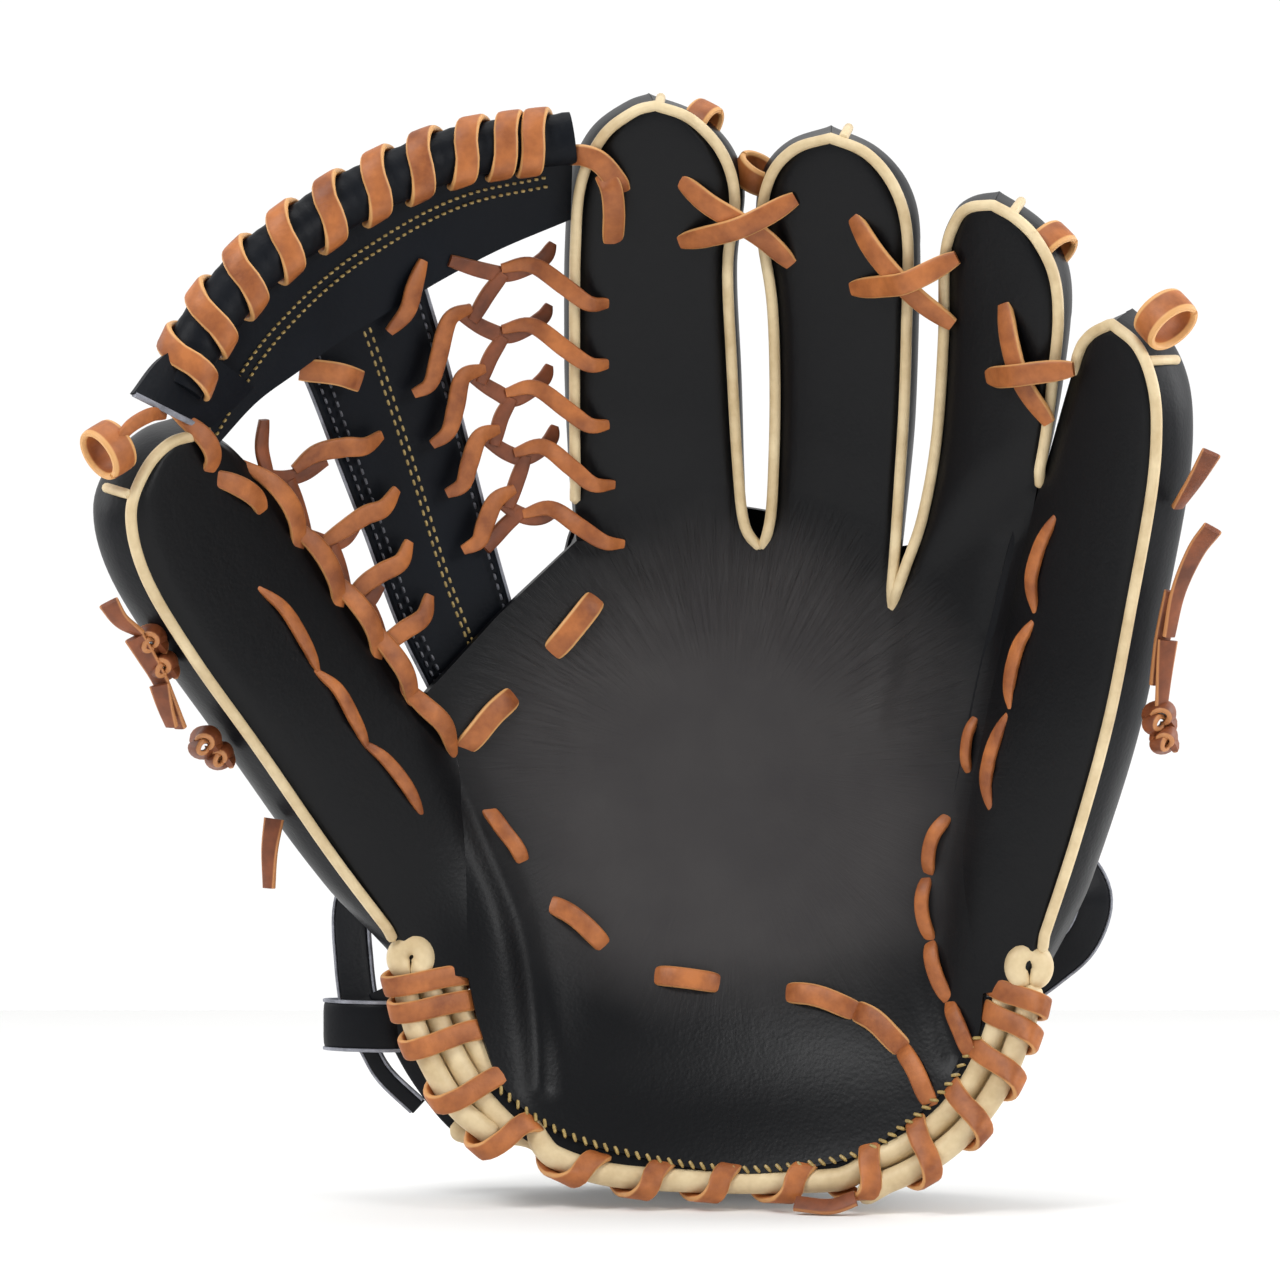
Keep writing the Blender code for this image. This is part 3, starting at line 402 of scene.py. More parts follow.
# Steerhide, chrome tanned, dyed black and lightly oiled: a fine pebbled grain about 1 mm across (real hide
# has 0.5 mm, drawn coarser so that it shows), broad uneven gloss, and a faint blue-black cast.
def makeBlackLeather(name, dark, light, glossLow, glossHigh, grain, crease):
    material, tree = startFinish(name)
    place = addNode(tree, "TexCoord")
    broad = addNode(tree, "TexNoise", {"Vector": (place, "Object"), "Scale": 1000 / 42, "Detail": 3.0})
    folds = addNode(tree, "TexNoise", {"Vector": (place, "Object"), "Scale": 1000 / 16, "Detail": 6.0,
                                       "Roughness": 0.62, "Distortion": 0.6})
    cells = addNode(tree, "TexVoronoi", {"Vector": (place, "Object"), "Scale": 1000 / 1.0},
                    feature="SMOOTH_F1")
    pores = addNode(tree, "TexNoise", {"Vector": (place, "Object"), "Scale": 1000 / 0.8})
    bent = addNode(tree, "Bump", {"Height": (folds, 0), "Strength": crease, "Distance": 0.0008})
    grained = addNode(tree, "Bump", {"Height": (cells, 0), "Strength": grain, "Distance": 0.00025,
                                     "Normal": (bent, 0)})
    pored = addNode(tree, "Bump", {"Height": (pores, 0), "Strength": grain * 0.7, "Distance": 0.00012,
                                   "Normal": (grained, 0)})
    share = addNode(tree, "MapRange", {"Value": (broad, 0), "From Min": 0.3, "From Max": 0.75})
    tint = addNode(tree, "Mix", {0: (share, 0), 6: hexColour(dark), 7: hexColour(light)}, data_type="RGBA")
    rough = addNode(tree, "MapRange", {"Value": (broad, 0), "From Min": 0.3, "From Max": 0.7,
                                       "To Min": glossLow, "To Max": glossHigh})
    endFinish(tree, {"Base Color": (tint, 2), "Roughness": (rough, 0), "Normal": (pored, 0), "IOR": 1.48,
                     "Specular IOR Level": 0.15})
    return material


# The same hide on the palm and the finger faces: buffed to a soft dark grey in the pocket, fading to near
# black towards its rim, a fade that is painted shade where the cupped leather curves away; fine creases run
# out from its middle and are strongest above it.
pocketShape = dict(x=22.0, z=122.0, inner=44.0, outer=80.0, rays=40.0, rings=60.0)


def makePalmLeather():
    material, tree = startFinish("buffedPalmSteerhidePaintedShade")
    s = pocketShape
    place = addNode(tree, "TexCoord")
    centre = (-(s["x"] + cupShape["centreX"]) * 0.001, 0, -s["z"] * 0.001)
    local = addNode(tree, "Mapping", {"Vector": (place, "Object"), "Location": centre})
    axes = addNode(tree, "SeparateXYZ", {0: (local, 0)})
    flat = addNode(tree, "CombineXYZ", {"X": (axes, 0), "Y": (axes, 2)})
    radius = addNode(tree, "VectorMath", {0: (flat, 0)}, operation="LENGTH")
    wobble = addNode(tree, "TexNoise", {"Vector": (place, "Object"), "Scale": 1000 / 50, "Detail": 3.0})
    reach = addNode(tree, "Math", {0: (wobble, 0), 1: 0.034, 2: (radius, "Value")}, operation="MULTIPLY_ADD")
    # painted shade: the pocket's grey leather fades to near black towards its rim, standing in for shade
    # where the leather curves away
    pocketGreyAndShade = addNode(tree, "MapRange", {"Value": (reach, 0), "From Min": (s["outer"] + 17) * 0.001,
                                      "From Max": (s["inner"] + 17) * 0.001},
                   interpolation_type="SMOOTHSTEP")
    angle = addNode(tree, "Math", {0: (axes, 2), 1: (axes, 0)}, operation="ARCTAN2")
    turns = addNode(tree, "Math", {0: (angle, 0), 1: s["rays"]}, operation="MULTIPLY")
    rings = addNode(tree, "Math", {0: (radius, "Value"), 1: s["rings"]}, operation="MULTIPLY")
    polar = addNode(tree, "CombineXYZ", {"X": (turns, 0), "Y": (rings, 0)})
    rays = addNode(tree, "TexNoise", {"Vector": (polar, 0), "Scale": 1.0, "Detail": 5.0, "Roughness": 0.6,
                                      "Distortion": 0.9})
    upper = addNode(tree, "MapRange", {"Value": (axes, 2), "From Min": -0.01, "From Max": 0.04,
                                       "To Min": 0.15})
    ringed = addNode(tree, "MapRange", {"Value": (radius, "Value"), "From Min": 0.022, "From Max": 0.05})
    where = addNode(tree, "Math", {0: (upper, 0), 1: (ringed, 0)}, operation="MULTIPLY")
    inPalm = addNode(tree, "MapRange", {"Value": (radius, "Value"), "From Min": 0.08, "From Max": 0.06})
    palmOnly = addNode(tree, "Math", {0: (where, 0), 1: (inPalm, 0)}, operation="MULTIPLY")
    rayed = addNode(tree, "Math", {0: (rays, 0), 1: (palmOnly, 0)}, operation="MULTIPLY")
    cells = addNode(tree, "TexVoronoi", {"Vector": (place, "Object"), "Scale": 1000 / 1.0},
                    feature="SMOOTH_F1")
    specks = addNode(tree, "TexNoise", {"Vector": (place, "Object"), "Scale": 1000 / 1.3, "Detail": 3.0})
    folds = addNode(tree, "TexNoise", {"Vector": (place, "Object"), "Scale": 1000 / 11, "Detail": 6.0,
                                       "Roughness": 0.62})
    mottle = addNode(tree, "TexNoise", {"Vector": (place, "Object"), "Scale": 1000 / 26, "Detail": 3.0})
    share = addNode(tree, "MapRange", {"Value": (mottle, 0), "From Min": 0.25, "From Max": 0.8})
    grey = addNode(tree, "Mix", {0: (share, 0), 6: hexColour("#333132"), 7: hexColour("#3e3c3c")},
                   data_type="RGBA")
    # near black outside the pocket, grey leather inside it; the fade between them is painted shade
    tint = addNode(tree, "Mix", {0: (pocketGreyAndShade, 0), 6: hexColour("#08090c"), 7: (grey, 2)}, data_type="RGBA")
    normal = {}
    for height, strength, distance in ((rayed, 0.9, 0.0015), (folds, 0.22, 0.0007), (cells, 0.2, 0.00022),
                                       (specks, 0.16, 0.00012)):
        bump = addNode(tree, "Bump", {"Height": (height, 0), "Strength": strength, "Distance": distance,
                                      **normal})
        normal = {"Normal": (bump, 0)}
    rough = addNode(tree, "MapRange", {"Value": (pocketGreyAndShade, 0), "To Min": 0.4, "To Max": 0.58})
    endFinish(tree, {"Base Color": (tint, 2), "Roughness": (rough, 0), "Normal": (bump, 0), "IOR": 1.46,
                     "Specular IOR Level": 0.24})
    return material


# Rawhide lace, oil tanned: an orange-brown grain side with darker blotches, raw edges that are paler, and
# fine wrinkles across it, 1.6 mm apart. u runs along the lace and v across it.
def makeLaceFinish(name, dark, light, edge, width):
    material, tree = startFinish(name)
    uv = addNode(tree, "UVMap", uv_map="along")
    place = addNode(tree, "TexCoord")
    axes = addNode(tree, "SeparateXYZ", {0: (uv, 0)})
    blotch = addNode(tree, "TexNoise", {"Vector": (place, "Object"), "Scale": 1000 / 9, "Detail": 4.0,
                                        "Roughness": 0.6})
    share = addNode(tree, "MapRange", {"Value": (blotch, 0), "From Min": 0.32, "From Max": 0.68})
    body = addNode(tree, "Mix", {0: (share, 0), 6: hexColour(dark), 7: hexColour(light)}, data_type="RGBA")
    across = addNode(tree, "Math", {0: (axes, 1)}, operation="ABSOLUTE")
    rim = addNode(tree, "MapRange", {"Value": (across, 0), "From Min": width * 0.00042,
                                     "From Max": width * 0.0005})
    tint = addNode(tree, "Mix", {0: (rim, 0), 6: (body, 2), 7: hexColour(edge)}, data_type="RGBA")
    ripple = addNode(tree, "Mapping", {"Vector": (uv, 0), "Scale": (1.0, 0.35, 1.0)})
    wrinkle = addNode(tree, "TexNoise", {"Vector": (ripple, 0), "Scale": 1000 / 1.6, "Detail": 3.0,
                                         "Roughness": 0.6})
    grain = addNode(tree, "TexNoise", {"Vector": (place, "Object"), "Scale": 1000 / 0.7})
    wrinkled = addNode(tree, "Bump", {"Height": (wrinkle, 0), "Strength": 0.35, "Distance": 0.00035})
    grained = addNode(tree, "Bump", {"Height": (grain, 0), "Strength": 0.2, "Distance": 0.00012,
                                     "Normal": (wrinkled, 0)})
    endFinish(tree, {"Base Color": (tint, 2), "Roughness": 0.5, "Normal": (grained, 0), "IOR": 1.47})
    return material


# A plain finish of two mottled colours with one fine relief: cream binding leather that is pigment
# finished and a little soiled, bonded nylon thread, split linings, felt, cut leather edges and loop pile.
def makeMottled(name, dark, light, patchMm, reliefMm, strength, rough, **more):
    material, tree = startFinish(name)
    place = addNode(tree, "TexCoord")
    patches = addNode(tree, "TexNoise", {"Vector": (place, "Object"), "Scale": 1000 / patchMm, "Detail": 4.0,
                                         "Roughness": 0.65})
    share = addNode(tree, "MapRange", {"Value": (patches, 0), "From Min": 0.3, "From Max": 0.66})
    tint = addNode(tree, "Mix", {0: (share, 0), 6: hexColour(dark), 7: hexColour(light)}, data_type="RGBA")
    fine = addNode(tree, "TexNoise", {"Vector": (place, "Object"), "Scale": 1000 / reliefMm, "Detail": 3.0})
    bump = addNode(tree, "Bump", {"Height": (fine, 0), "Strength": strength, "Distance": 0.00025})
    endFinish(tree, {"Base Color": (tint, 2), "Roughness": rough, "Normal": (bump, 0), **more})
    return material


blackLeather = makeBlackLeather("blackSteerhide", "#07080c", "#0e1015", 0.34, 0.5, 0.16, 0.25)
webLeather = makeBlackLeather("blackWebLeather", "#070a10", "#10141b", 0.42, 0.58, 0.2, 0.3)
palmLeather = makePalmLeather()
tanLace = makeLaceFinish("oilTannedLace", "#80441f", "#b86e38", "#d8a266", 6.2)
darkLace = makeLaceFinish("oilTannedLaceFleshSide", "#5f3019", "#8a4a28", "#b87c4c", 5.0)
cream = makeMottled("creamBindingLeather", "#bfa67c", "#e0cca4", 14, 1.2, 0.22, 0.48, IOR=1.47)
thread = makeMottled("goldNylonThread", "#86703e", "#b39a5f", 1.0, 0.4, 0.3, 0.42, IOR=1.53)
lining = makeMottled("dyedSplitLining", "#1a191b", "#2b2a2c", 5, 0.6, 0.5, 0.9)
felt = makeMottled("pressedWoolFelt", "#77746b", "#9a968b", 5, 1.2, 0.6, 0.95)
rawEdge = makeMottled("rawLeatherEdge", "#6b6d74", "#9a9ca6", 5, 0.5, 0.4, 0.88)
loopPile = makeMottled("nylonLoopPile", "#0a0a0b", "#1b1b1d", 4, 0.9, 0.9, 0.95)
floorPaper = makeMottled("paleFloorPaper", "#f4f4f3", "#f8f8f7", 400, 30, 0.02, 0.9)
greyThread = makeMottled("greyNylonThread", "#3c3e44", "#5c5e66", 1.0, 0.4, 0.3, 0.45, IOR=1.53)
print("materials ready")

floorHalf = studio["floorHalf"]
across = np.linspace(-floorHalf, floorHalf, 9)
floorGrid = np.stack([*np.meshgrid(across, across), np.full((9, 9), -0.05)], -1)
floorData = bpy.data.meshes.new("paleFloor")
floorData.from_pydata((floorGrid.reshape(-1, 3) * 0.001).tolist(), [], gridFaces(np.arange(81).reshape(9, 9)))
floorData.materials.append(floorPaper)
floor = bpy.data.objects.new("paleFloor", floorData)
bpy.context.scene.collection.objects.link(floor)
floor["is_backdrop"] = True

# The face of each stall: the flat points of its two edges from foot to tip, how far its face is crowned,
# how deep and which way its back goes, how far its left and right sides swell past the edges, and above which
# heights its edges are free. Feet meet the palm's top edge at shared corners.
palmCorner = dict(heelThumb=(-50, 64), crotch=(-54.5, 128), web=(-61.5, 143.5), post=(-42, 165),
                  index=(-20, 186), indexMiddle=(31.5, 183), middleRing=(67.3, 166), ringLittle=(104.8, 194),
                  heelLittle=(92, 61))
stallShapes = {
    "index": dict(
        left=((-20, 186), (-20.5, 212), (-20.5, 240), (-20.2, 266), (-18.5, 284), (-12.5, 296.5), (-4, 303)),
        right=((31.5, 183), (27.2, 190.5), (25.3, 206), (23.4, 236), (22.2, 262), (24, 280), (20.5, 292),
               (12, 301)),
        tip=(2, 304.7), crown=3.6, depth=31, lean=-0.08, belly=(2, 5.5), body="hand", free=(180, 184)),
    "middle": dict(
        left=((31.5, 183), (34.3, 191.5), (35.3, 208), (35.5, 230), (34.5, 252), (31.5, 272), (33.5, 285),
              (40, 292.5)),
        right=((67.3, 166), (68.6, 182), (69.8, 202), (70.8, 222), (71.2, 245), (71, 268), (67.5, 281),
               (60, 290.5)),
        tip=(50, 295.2), crown=3.6, depth=30, lean=0.02, belly=(1, 5), body="hand", free=(184, 168)),
    "ring": dict(
        left=((67.3, 166), (71.4, 178), (76, 192), (79.5, 213), (81, 240), (81, 262), (83.5, 271.5), (87,
                                                                                                      275)),
        right=((104.8, 194), (106.2, 203), (107.8, 213), (109.3, 228), (110.4, 244), (109, 256),
               (104.5, 265.5), (99, 271.5)),
        tip=(93, 275.4), crown=3.4, depth=28, lean=0.12, belly=(1, 3.5), body="hand", free=(168, 196)),
    "little": dict(
        left=((92, 61), (89.5, 74), (87, 100), (92.7, 136), (99.5, 169), (104.8, 194), (107.8, 205), (114.7,
                                                                                                      232),
              (118, 239.2)),
        right=((103.5, 63), (107.6, 75), (116, 103), (124, 136), (129.8, 169), (134, 196.6), (135, 214),
               (133.8, 226), (130, 236)),
        tip=(123.5, 242.4), crown=3.0, depth=26, lean=0.36, belly=(0, 7.5), body="little", free=(196, 50)),
    "thumb": dict(
        left=((-64.5, 67), (-71.4, 76.6), (-87.5, 99), (-106.7, 129), (-123, 154), (-134, 174.6),
              (-137.5, 191), (-134, 203), (-128, 210.5)),
        right=((-50, 64), (-50.5, 80), (-50.8, 94), (-52, 110), (-54.5, 128), (-68, 147), (-82, 169),
               (-95.7, 191), (-107, 204), (-113.5, 210.5)),
        tip=(-121, 213.2), crown=3.0, depth=27, lean=-0.42, belly=(7.5, 0), body="thumb", free=(50, 132)),
}
stallBuild = dict(rows=72, columns=29, thickness=2.2, tuck=2.0, roundness=2.7, tipShare=0.72, bulge=3.0,
                  tipSwell=4.0, shellStart=2.6, shellThickness=2.0, around=41, upright=0.12)


# The two edges of a stall, sampled more closely towards the tip, with the tip's cosine: 1 along the
# straight part, falling to 0 at the very tip as the half width does.
def railsOf(shape):
    t = np.linspace(0, 1, stallBuild["rows"])
    shares = 0.9994 * (1 - (1 - t) ** 1.6)
    left, right = (atShares(through([*shape[side], shape["tip"]], 400), shares) for side in ("left", "right"))
    half = np.linalg.norm(right - left, axis=-1) / 2
    widest = half[shares > 0.55].max()
    cosine = np.where(shares > 0.55, np.clip(half / widest, 0, 1), 1.0)
    peak = np.argmax(np.where(shares > 0.55, half, 0))
    cosine[:peak] = 1.0
    return left, right, cosine, shares


leatherCloud = []


# The face: points between the two edges, crowned as 1 - |u|^2.4, its free edges turned back to the seam.
def faceGrid(shape):
    left, right, cosine, shares = railsOf(shape)
    u = np.sin(np.linspace(-math.pi / 2, math.pi / 2, stallBuild["columns"]))
    flat = left[:, None] * ((1 - u) / 2)[None, :, None] + right[:, None] * ((1 + u) / 2)[None, :, None]
    x, z = flat[..., 0], flat[..., 1]
    crown = shape["crown"] * (1 - np.abs(u) ** 2.4)[None] * (smooth(shares / 0.3) * cosine ** 0.7)[:, None]
    freeLeft, freeRight = (smooth((z - low) / 10) for low in shape["free"])
    tuck = stallBuild["tuck"] * (freeLeft * smooth((-u - 0.72) / 0.28) + freeRight * smooth((u - 0.72) / 0.28)
                                 + smooth((shares - 0.97) / 0.03)[:, None] * 0.6)
    return lift(x, z, palmDepth(x, z) - crown + tuck)


# Sides and back: from the left edge round the back to the right one, a superellipse that leans as the
# finger does and swells a little; it closes over the tip with the tip's cosine.
def shellGrid(shape):
    left, right, cosine, shares = railsOf(shape)
    s = stallBuild
    front = [lift(side[:, 0], side[:, 1], frontDepth(side[:, 0], side[:, 1])) for side in (left, right)]
    middle, reach = (front[0] + front[1]) / 2, (front[1] - front[0]) / 2
    across = unit(right - left)
    tangent = np.stack([-across[:, 1], across[:, 0]], -1)
    angle = np.linspace(0, math.pi, s["around"])
    power = 2 / s["roundness"]
    sideways = -np.sign(np.cos(angle)) * np.abs(np.cos(angle)) ** power
    backwards = np.sin(angle) ** power
    rounded = np.sqrt(np.clip(1 - (1 - cosine) ** 2, 0, 1))
    deep = (shape["depth"] - s["shellStart"]) * (s["tipShare"] + (1 - s["tipShare"]) * rounded)
    away = unit(np.array([shape["lean"], 1, s["upright"]]))
    swell = (s["bulge"] * smooth(shares / 0.4))[:, None] * backwards[None] ** 0.7
    tipward = np.sqrt(np.clip(1 - cosine ** 2, 0, 1))[:, None]
    belly = smooth(0.25 + shares / 0.2)[:, None] * np.where(sideways < 0, *shape["belly"])
    belly = (belly + s["tipSwell"] * tipward) * smooth(np.abs(sideways) / 0.6) * backwards ** 0.6
    beside = (swell + belly) * sideways * cosine[:, None]
    above = swell * tipward
    flat = across[:, None] * beside[..., None] + tangent[:, None] * above[..., None]
    out = np.stack([flat[..., 0], np.zeros(flat.shape[:2]), flat[..., 1]], -1)
    return (middle[:, None] + reach[:, None] * sideways[None, :, None]
            + away * (s["shellStart"] + deep[:, None] * backwards)[..., None] + out)


faces, shells = {}, {}
for name, shape in stallShapes.items():
    faces[name], shells[name] = faceGrid(shape), shellGrid(shape)
    leatherCloud.append(faces[name][::2, ::2].reshape(-1, 3))
    bend = name if name in foldBlend else None
    makePiece(name + "Face", sheetMesh(faces[name], stallBuild["thickness"]), palmLeather, shape["body"],
              [name + "_front"], bend)
    makePiece(name + "Back", sheetMesh(shells[name][:, ::-1], stallBuild["shellThickness"]), blackLeather,
              shape["body"], [name + "_back"])
print("stalls ready")

# Cream piping round each face: from one flat spot, over the tip, to another; its ends sink in.
pipingShape = dict(radius=1.55, proud=0.35, rowsBetween=220)
pipingRuns = {
    "index": ((-20.3, 196), (31.5, 183)), "middle": ((31.5, 183), (67.3, 166)),
    "ring": ((67.3, 166), (106.0, 199)), "little": ((113.5, 229), (106.6, 73.0)),
    "thumb": ((-70.0, 74.6), (-118.5, 212)),
}


def rimPath(shape, first, last):
    rim = np.vstack([through([*shape["left"], shape["tip"]], 400),
                     through([*shape["right"], shape["tip"]], 400)[::-1]])
    rim = rim[np.r_[True, np.linalg.norm(np.diff(rim, axis=0), axis=1) > 1e-6]]
    return between(rim, first, last, pipingShape["rowsBetween"])


for name, (first, last) in pipingRuns.items():
    flat = rimPath(stallShapes[name], first, last)
    t = np.linspace(0, 1, len(flat))
    sink = 1.6 * (smooth((0.03 - t) / 0.03) + smooth((t - 0.97) / 0.03))
    path, normal = onSurface(flat, pipingShape["proud"] - sink, palmDepth)
    makePiece(name + "Piping", cordMesh(path, pipingShape["radius"], 12), cream, stallShapes[name]["body"],
              [name + "_welt"])

# The short cross pipings that run from the face's piping back over each tip.
crossPipings = {
    "index": ((3.0, 303.9), (3.6, 308.6), 16), "middle": ((53.0, 294.6), (55.4, 299.4), 15),
    "ring": ((97.6, 272.4), (101.4, 277.4), 13), "little": ((131.0, 232.0), (142.0, 233.0), 12),
    "thumb": ((-137.0, 196.5), (-145.5, 199.0), 12),
}
for name, (start, end, deep) in crossPipings.items():
    flat = through([start, end], 12)
    depth = frontDepth(start[0], start[1]) - 0.6 + np.linspace(0, 1, 12) ** 1.5 * deep
    makePiece(name + "CrossPiping", cordMesh(lift(flat[:, 0], flat[:, 1], depth), 1.35, 10), cream,
              stallShapes[name]["body"])


# Points inside four edges of flat points (a Coons patch): left and right run up, bottom and top across.
def patchInside(bottom, right, top, left):
    u = np.linspace(0, 1, len(bottom))[None, :, None]
    v = np.linspace(0, 1, len(left))[:, None, None]
    blended = (1 - v) * bottom[None] + v * top[None] + (1 - u) * left[:, None] + u * right[:, None]
    corners = ((1 - u) * (1 - v) * bottom[0] + u * (1 - v) * bottom[-1]
               + (1 - u) * v * top[0] + u * v * top[-1])
    return blended - corners


palmShape = dict(columns=121, rows=111, thickness=2.4, feltGap=3.0, feltDeep=5.0)
heelEdge = ((-50, 64), (-46, 48), (-38, 31), (-20, 19.5), (-2, 14.5), (15, 11.5), (31, 10.5), (55.6, 15),
            (70, 24), (83, 36), (90.5, 49), (92, 61))


def palmFlat():
    c = palmCorner
    thumbEdge = through([*stallShapes["thumb"]["right"], stallShapes["thumb"]["tip"]], 400)
    littleEdge = through([*stallShapes["little"]["left"], stallShapes["little"]["tip"]], 400)
    left = np.vstack([between(thumbEdge, c["heelThumb"], c["crotch"], 60), [c["web"]]])
    right = between(littleEdge, c["heelLittle"], c["ringLittle"], 80)
    top = np.array([c[k] for k in ("web", "post", "index", "indexMiddle", "middleRing", "ringLittle")], float)
    top = atShares(top, np.linspace(0, 1, palmShape["columns"]))
    shares = np.linspace(0, 1, palmShape["rows"])
    return patchInside(through(heelEdge, palmShape["columns"]), atShares(right, shares), top,
                       atShares(left, shares))


flat = palmFlat()
palmGrid = lift(flat[..., 0], flat[..., 1], palmDepth(flat[..., 0], flat[..., 1]))
leatherCloud.append(palmGrid[::2, ::2].reshape(-1, 3))
makePiece("palmLeather", sheetMesh(palmGrid, palmShape["thickness"]), palmLeather, "hand",
          ["palm_shell", "thumb_gusset"], bend="thumb")

# The felt pad and the lining behind the palm, seen from the wrist opening.
inner = flat[4:-14, 10:-10]
x, z = inner[..., 0], inner[..., 1]
pad = lift(x, z, palmDepth(x, z) + palmShape["feltGap"])
feltThick = palmShape["feltDeep"] * (0.45 + 0.55 * smooth((110 - z) / 90))[..., None]
makePiece("palmFelt", sheetMesh(pad[::3, ::3], 3.4), felt, "hand", ["palm_felt"])
back = pad + (0, 1, 0) * (feltThick + 0.8)
makePiece("palmLining", sheetMesh(back[::2, ::2], 1.6), lining, "hand", ["palm_lining"])
print("palm ready")


# Depth of the faces already made at flat points: the mean of the three nearest of their points, weighted
# by one over the distance.
def leatherDepthAt(x, z):
    cloud = np.vstack(leatherCloud)
    spots = np.stack([np.ravel(x) + cupShape["centreX"], np.ravel(z)], -1)
    gap = np.sqrt(((spots[:, None] - cloud[None, :, [0, 2]]) ** 2).sum(-1))
    nearest = np.argpartition(gap, 3, axis=1)[:, :3]
    weight = 1 / (np.take_along_axis(gap, nearest, 1) + 0.05)
    depth = (cloud[nearest, 1] * weight).sum(1) / weight.sum(1) - cupShape["centreY"]
    return depth.reshape(np.shape(x))


# A flat lace over a route of (x, z, proud) spots, proud of depthOf. It narrows to a share of its width as
# |t| to the power "spread" towards its two ends.
def laceMesh(route, width, thickness, depthOf, endShare, count, spread):
    spots = through(route, count)
    flat, proud = spots[:, :2], spots[:, 2]
    if depthOf is leatherDepthAt:
        normal = onSurface(flat, 0 * proud)[1]
        depth = leatherDepthAt(flat[:, 0], flat[:, 1])
        kernel = np.ones(5) / 5
        depth = np.convolve(np.pad(depth, 2, mode="edge"), kernel, mode="valid")
        path = lift(flat[:, 0], flat[:, 1], depth) + normal * proud[:, None]
    else:
        path, normal = onSurface(flat, proud, depthOf)
    t = np.linspace(-1, 1, count)
    wide = 1 - (1 - endShare) * np.abs(t) ** spread
    return sweepMesh(path, normal, flatProfile(width, thickness), np.stack([wide, np.ones(count)], -1))


# A dash: proud in its middle, its ends dipping into the holes of the leather.
def dash(points, high, dip):
    spots = through(points, 9)
    t = np.abs(np.linspace(-1, 1, 9))
    proud = dip + (high - dip) * (1 - t ** 3.2)
    return np.column_stack([spots, proud])


laceSize = dict(width=6.2, thickness=2.0)
wide, thick = laceSize["width"], laceSize["thickness"]

# Rows of dashes on the faces: each dash is its flat spots, beside its share of the lace's width. "high" and
# "dip" are how far its middle stands proud and how far its ends sink.
dashRows = {
    "pocketLace": dict(node="pocket_lace", ends=0.8, count=24, spread=6, dashes=(
        (1.12, (-14.3, 170.2), (-20.1, 163.1), (-27.2, 154.3)),
        (1.1, (-37.4, 142.7), (-44, 137.2), (-51.2, 127.9)),
        (0.72, (-44.6, 110.6), (-41.2, 105.3), (-37.4, 100.4), (-34.7, 96)),
        (0.9, (-27.5, 84.4), (-20.4, 80), (-12.1, 72.3)), (0.95, (1.9, 64.1), (11, 63), (20.1, 61.9)),
        (1.0, (38.5, 59.7), (47.9, 58.6), (58.3, 54.7)), (1.05, (57.5, 55.3), (63.8, 52), (70.7, 44.8)),
        (0.85, (70.1, 45.4), (74.2, 39.3), (77.6, 30.5)))),
    "littleSidePalmLace": dict(node="little_side_palm_lace", ends=0.7, count=22, spread=4, dashes=(
        (0.5, (89.9, 136.7), (88.6, 130.1), (88, 121.8)), (0.66, (82.8, 109.5), (79.2, 102.6), (77.6, 93.2)),
        (0.66, (77, 92.1), (76.5, 83.9), (78.1, 75.1)), (0.72, (78.1, 74.5), (79.8, 66.8), (82.8, 58.6)),
        (0.75, (83.1, 58), (86.4, 50.9), (89.1, 43.2)))),
    "thumbFaceLace": dict(node="thumb_face_lace", body="thumb", high=1.3, dip=-0.9, ends=0.3, dashes=(
        (0.62, (-105.9, 172.4), (-100.1, 166.9), (-94.9, 158.1), (-90.2, 149.3)),
        (0.62, (-91.3, 149.9), (-85.8, 144.4), (-81.4, 136.1), (-77.3, 128.4)),
        (0.62, (-78.9, 130.1), (-73.7, 125.7), (-67.7, 118), (-62.7, 109.2)))),
    "littleFaceLace": dict(node="little_face_lace", body="little", high=1.3, dip=-0.9, ends=0.32, dashes=(
        (0.66, (110.6, 192.2), (107.8, 185.6), (105.1, 175.7), (105.1, 165.3)),
        (0.66, (105.1, 163.6), (101.8, 156.8), (99.6, 147.7), (98.7, 139.4)),
        (0.66, (98.5, 138.3), (95.7, 130.6), (93.5, 120.7), (94.1, 110.8)))),
}
for name, row in dashRows.items():
    made = [laceMesh(dash(route, row.get("high", 1.5), row.get("dip", -1.2)), wide * share, thick,
                     leatherDepthAt, row["ends"], row.get("count", 28), row.get("spread", 2.4))
            for share, *route in row["dashes"]]
    makePiece(name, joined(made), tanLace, row.get("body", "hand"), [row["node"]])

# The crossed laces that tie neighbouring fingertips: (x, z, proud) spots of the lower and the upper one.
tipRoutes = {
    "index_middle": (
        ((9.1, 285.7, 2.0), (17, 280.5, 5.4), (26, 275.6, 6.4), (33.6, 270.3, 5.4), (40.2, 262.6, 2.0)),
        ((9.1, 269.2, 2.4), (17, 271.6, 6.0), (26.4, 274.4, 8.6), (33.6, 276.9, 6.4), (41.2, 280.2, 2.2))),
    "middle_ring": (
        ((57.2, 274.5, 2.0), (63.8, 266.8, 5.6), (70.7, 259, 6.4), (77.6, 251.6, 5.4), (84.2, 244.5, 1.8)),
        ((57.2, 255.5, 2.4), (66.6, 256.6, 6.2), (75.4, 258, 8.6), (85.2, 262.6, 2.4))),
    "ring_little": (
        ((97.6, 249.4, 2.0), (101.2, 239.3, 5.4), (105.1, 228.5, 6.2), (109.5, 217.0, 1.6)),
        ((94.1, 230.2, 2.4), (100, 230.6, 6.8), (105.1, 231, 8.6), (110, 231.3, 7.0), (116.1, 231.3, 3.0))),
}
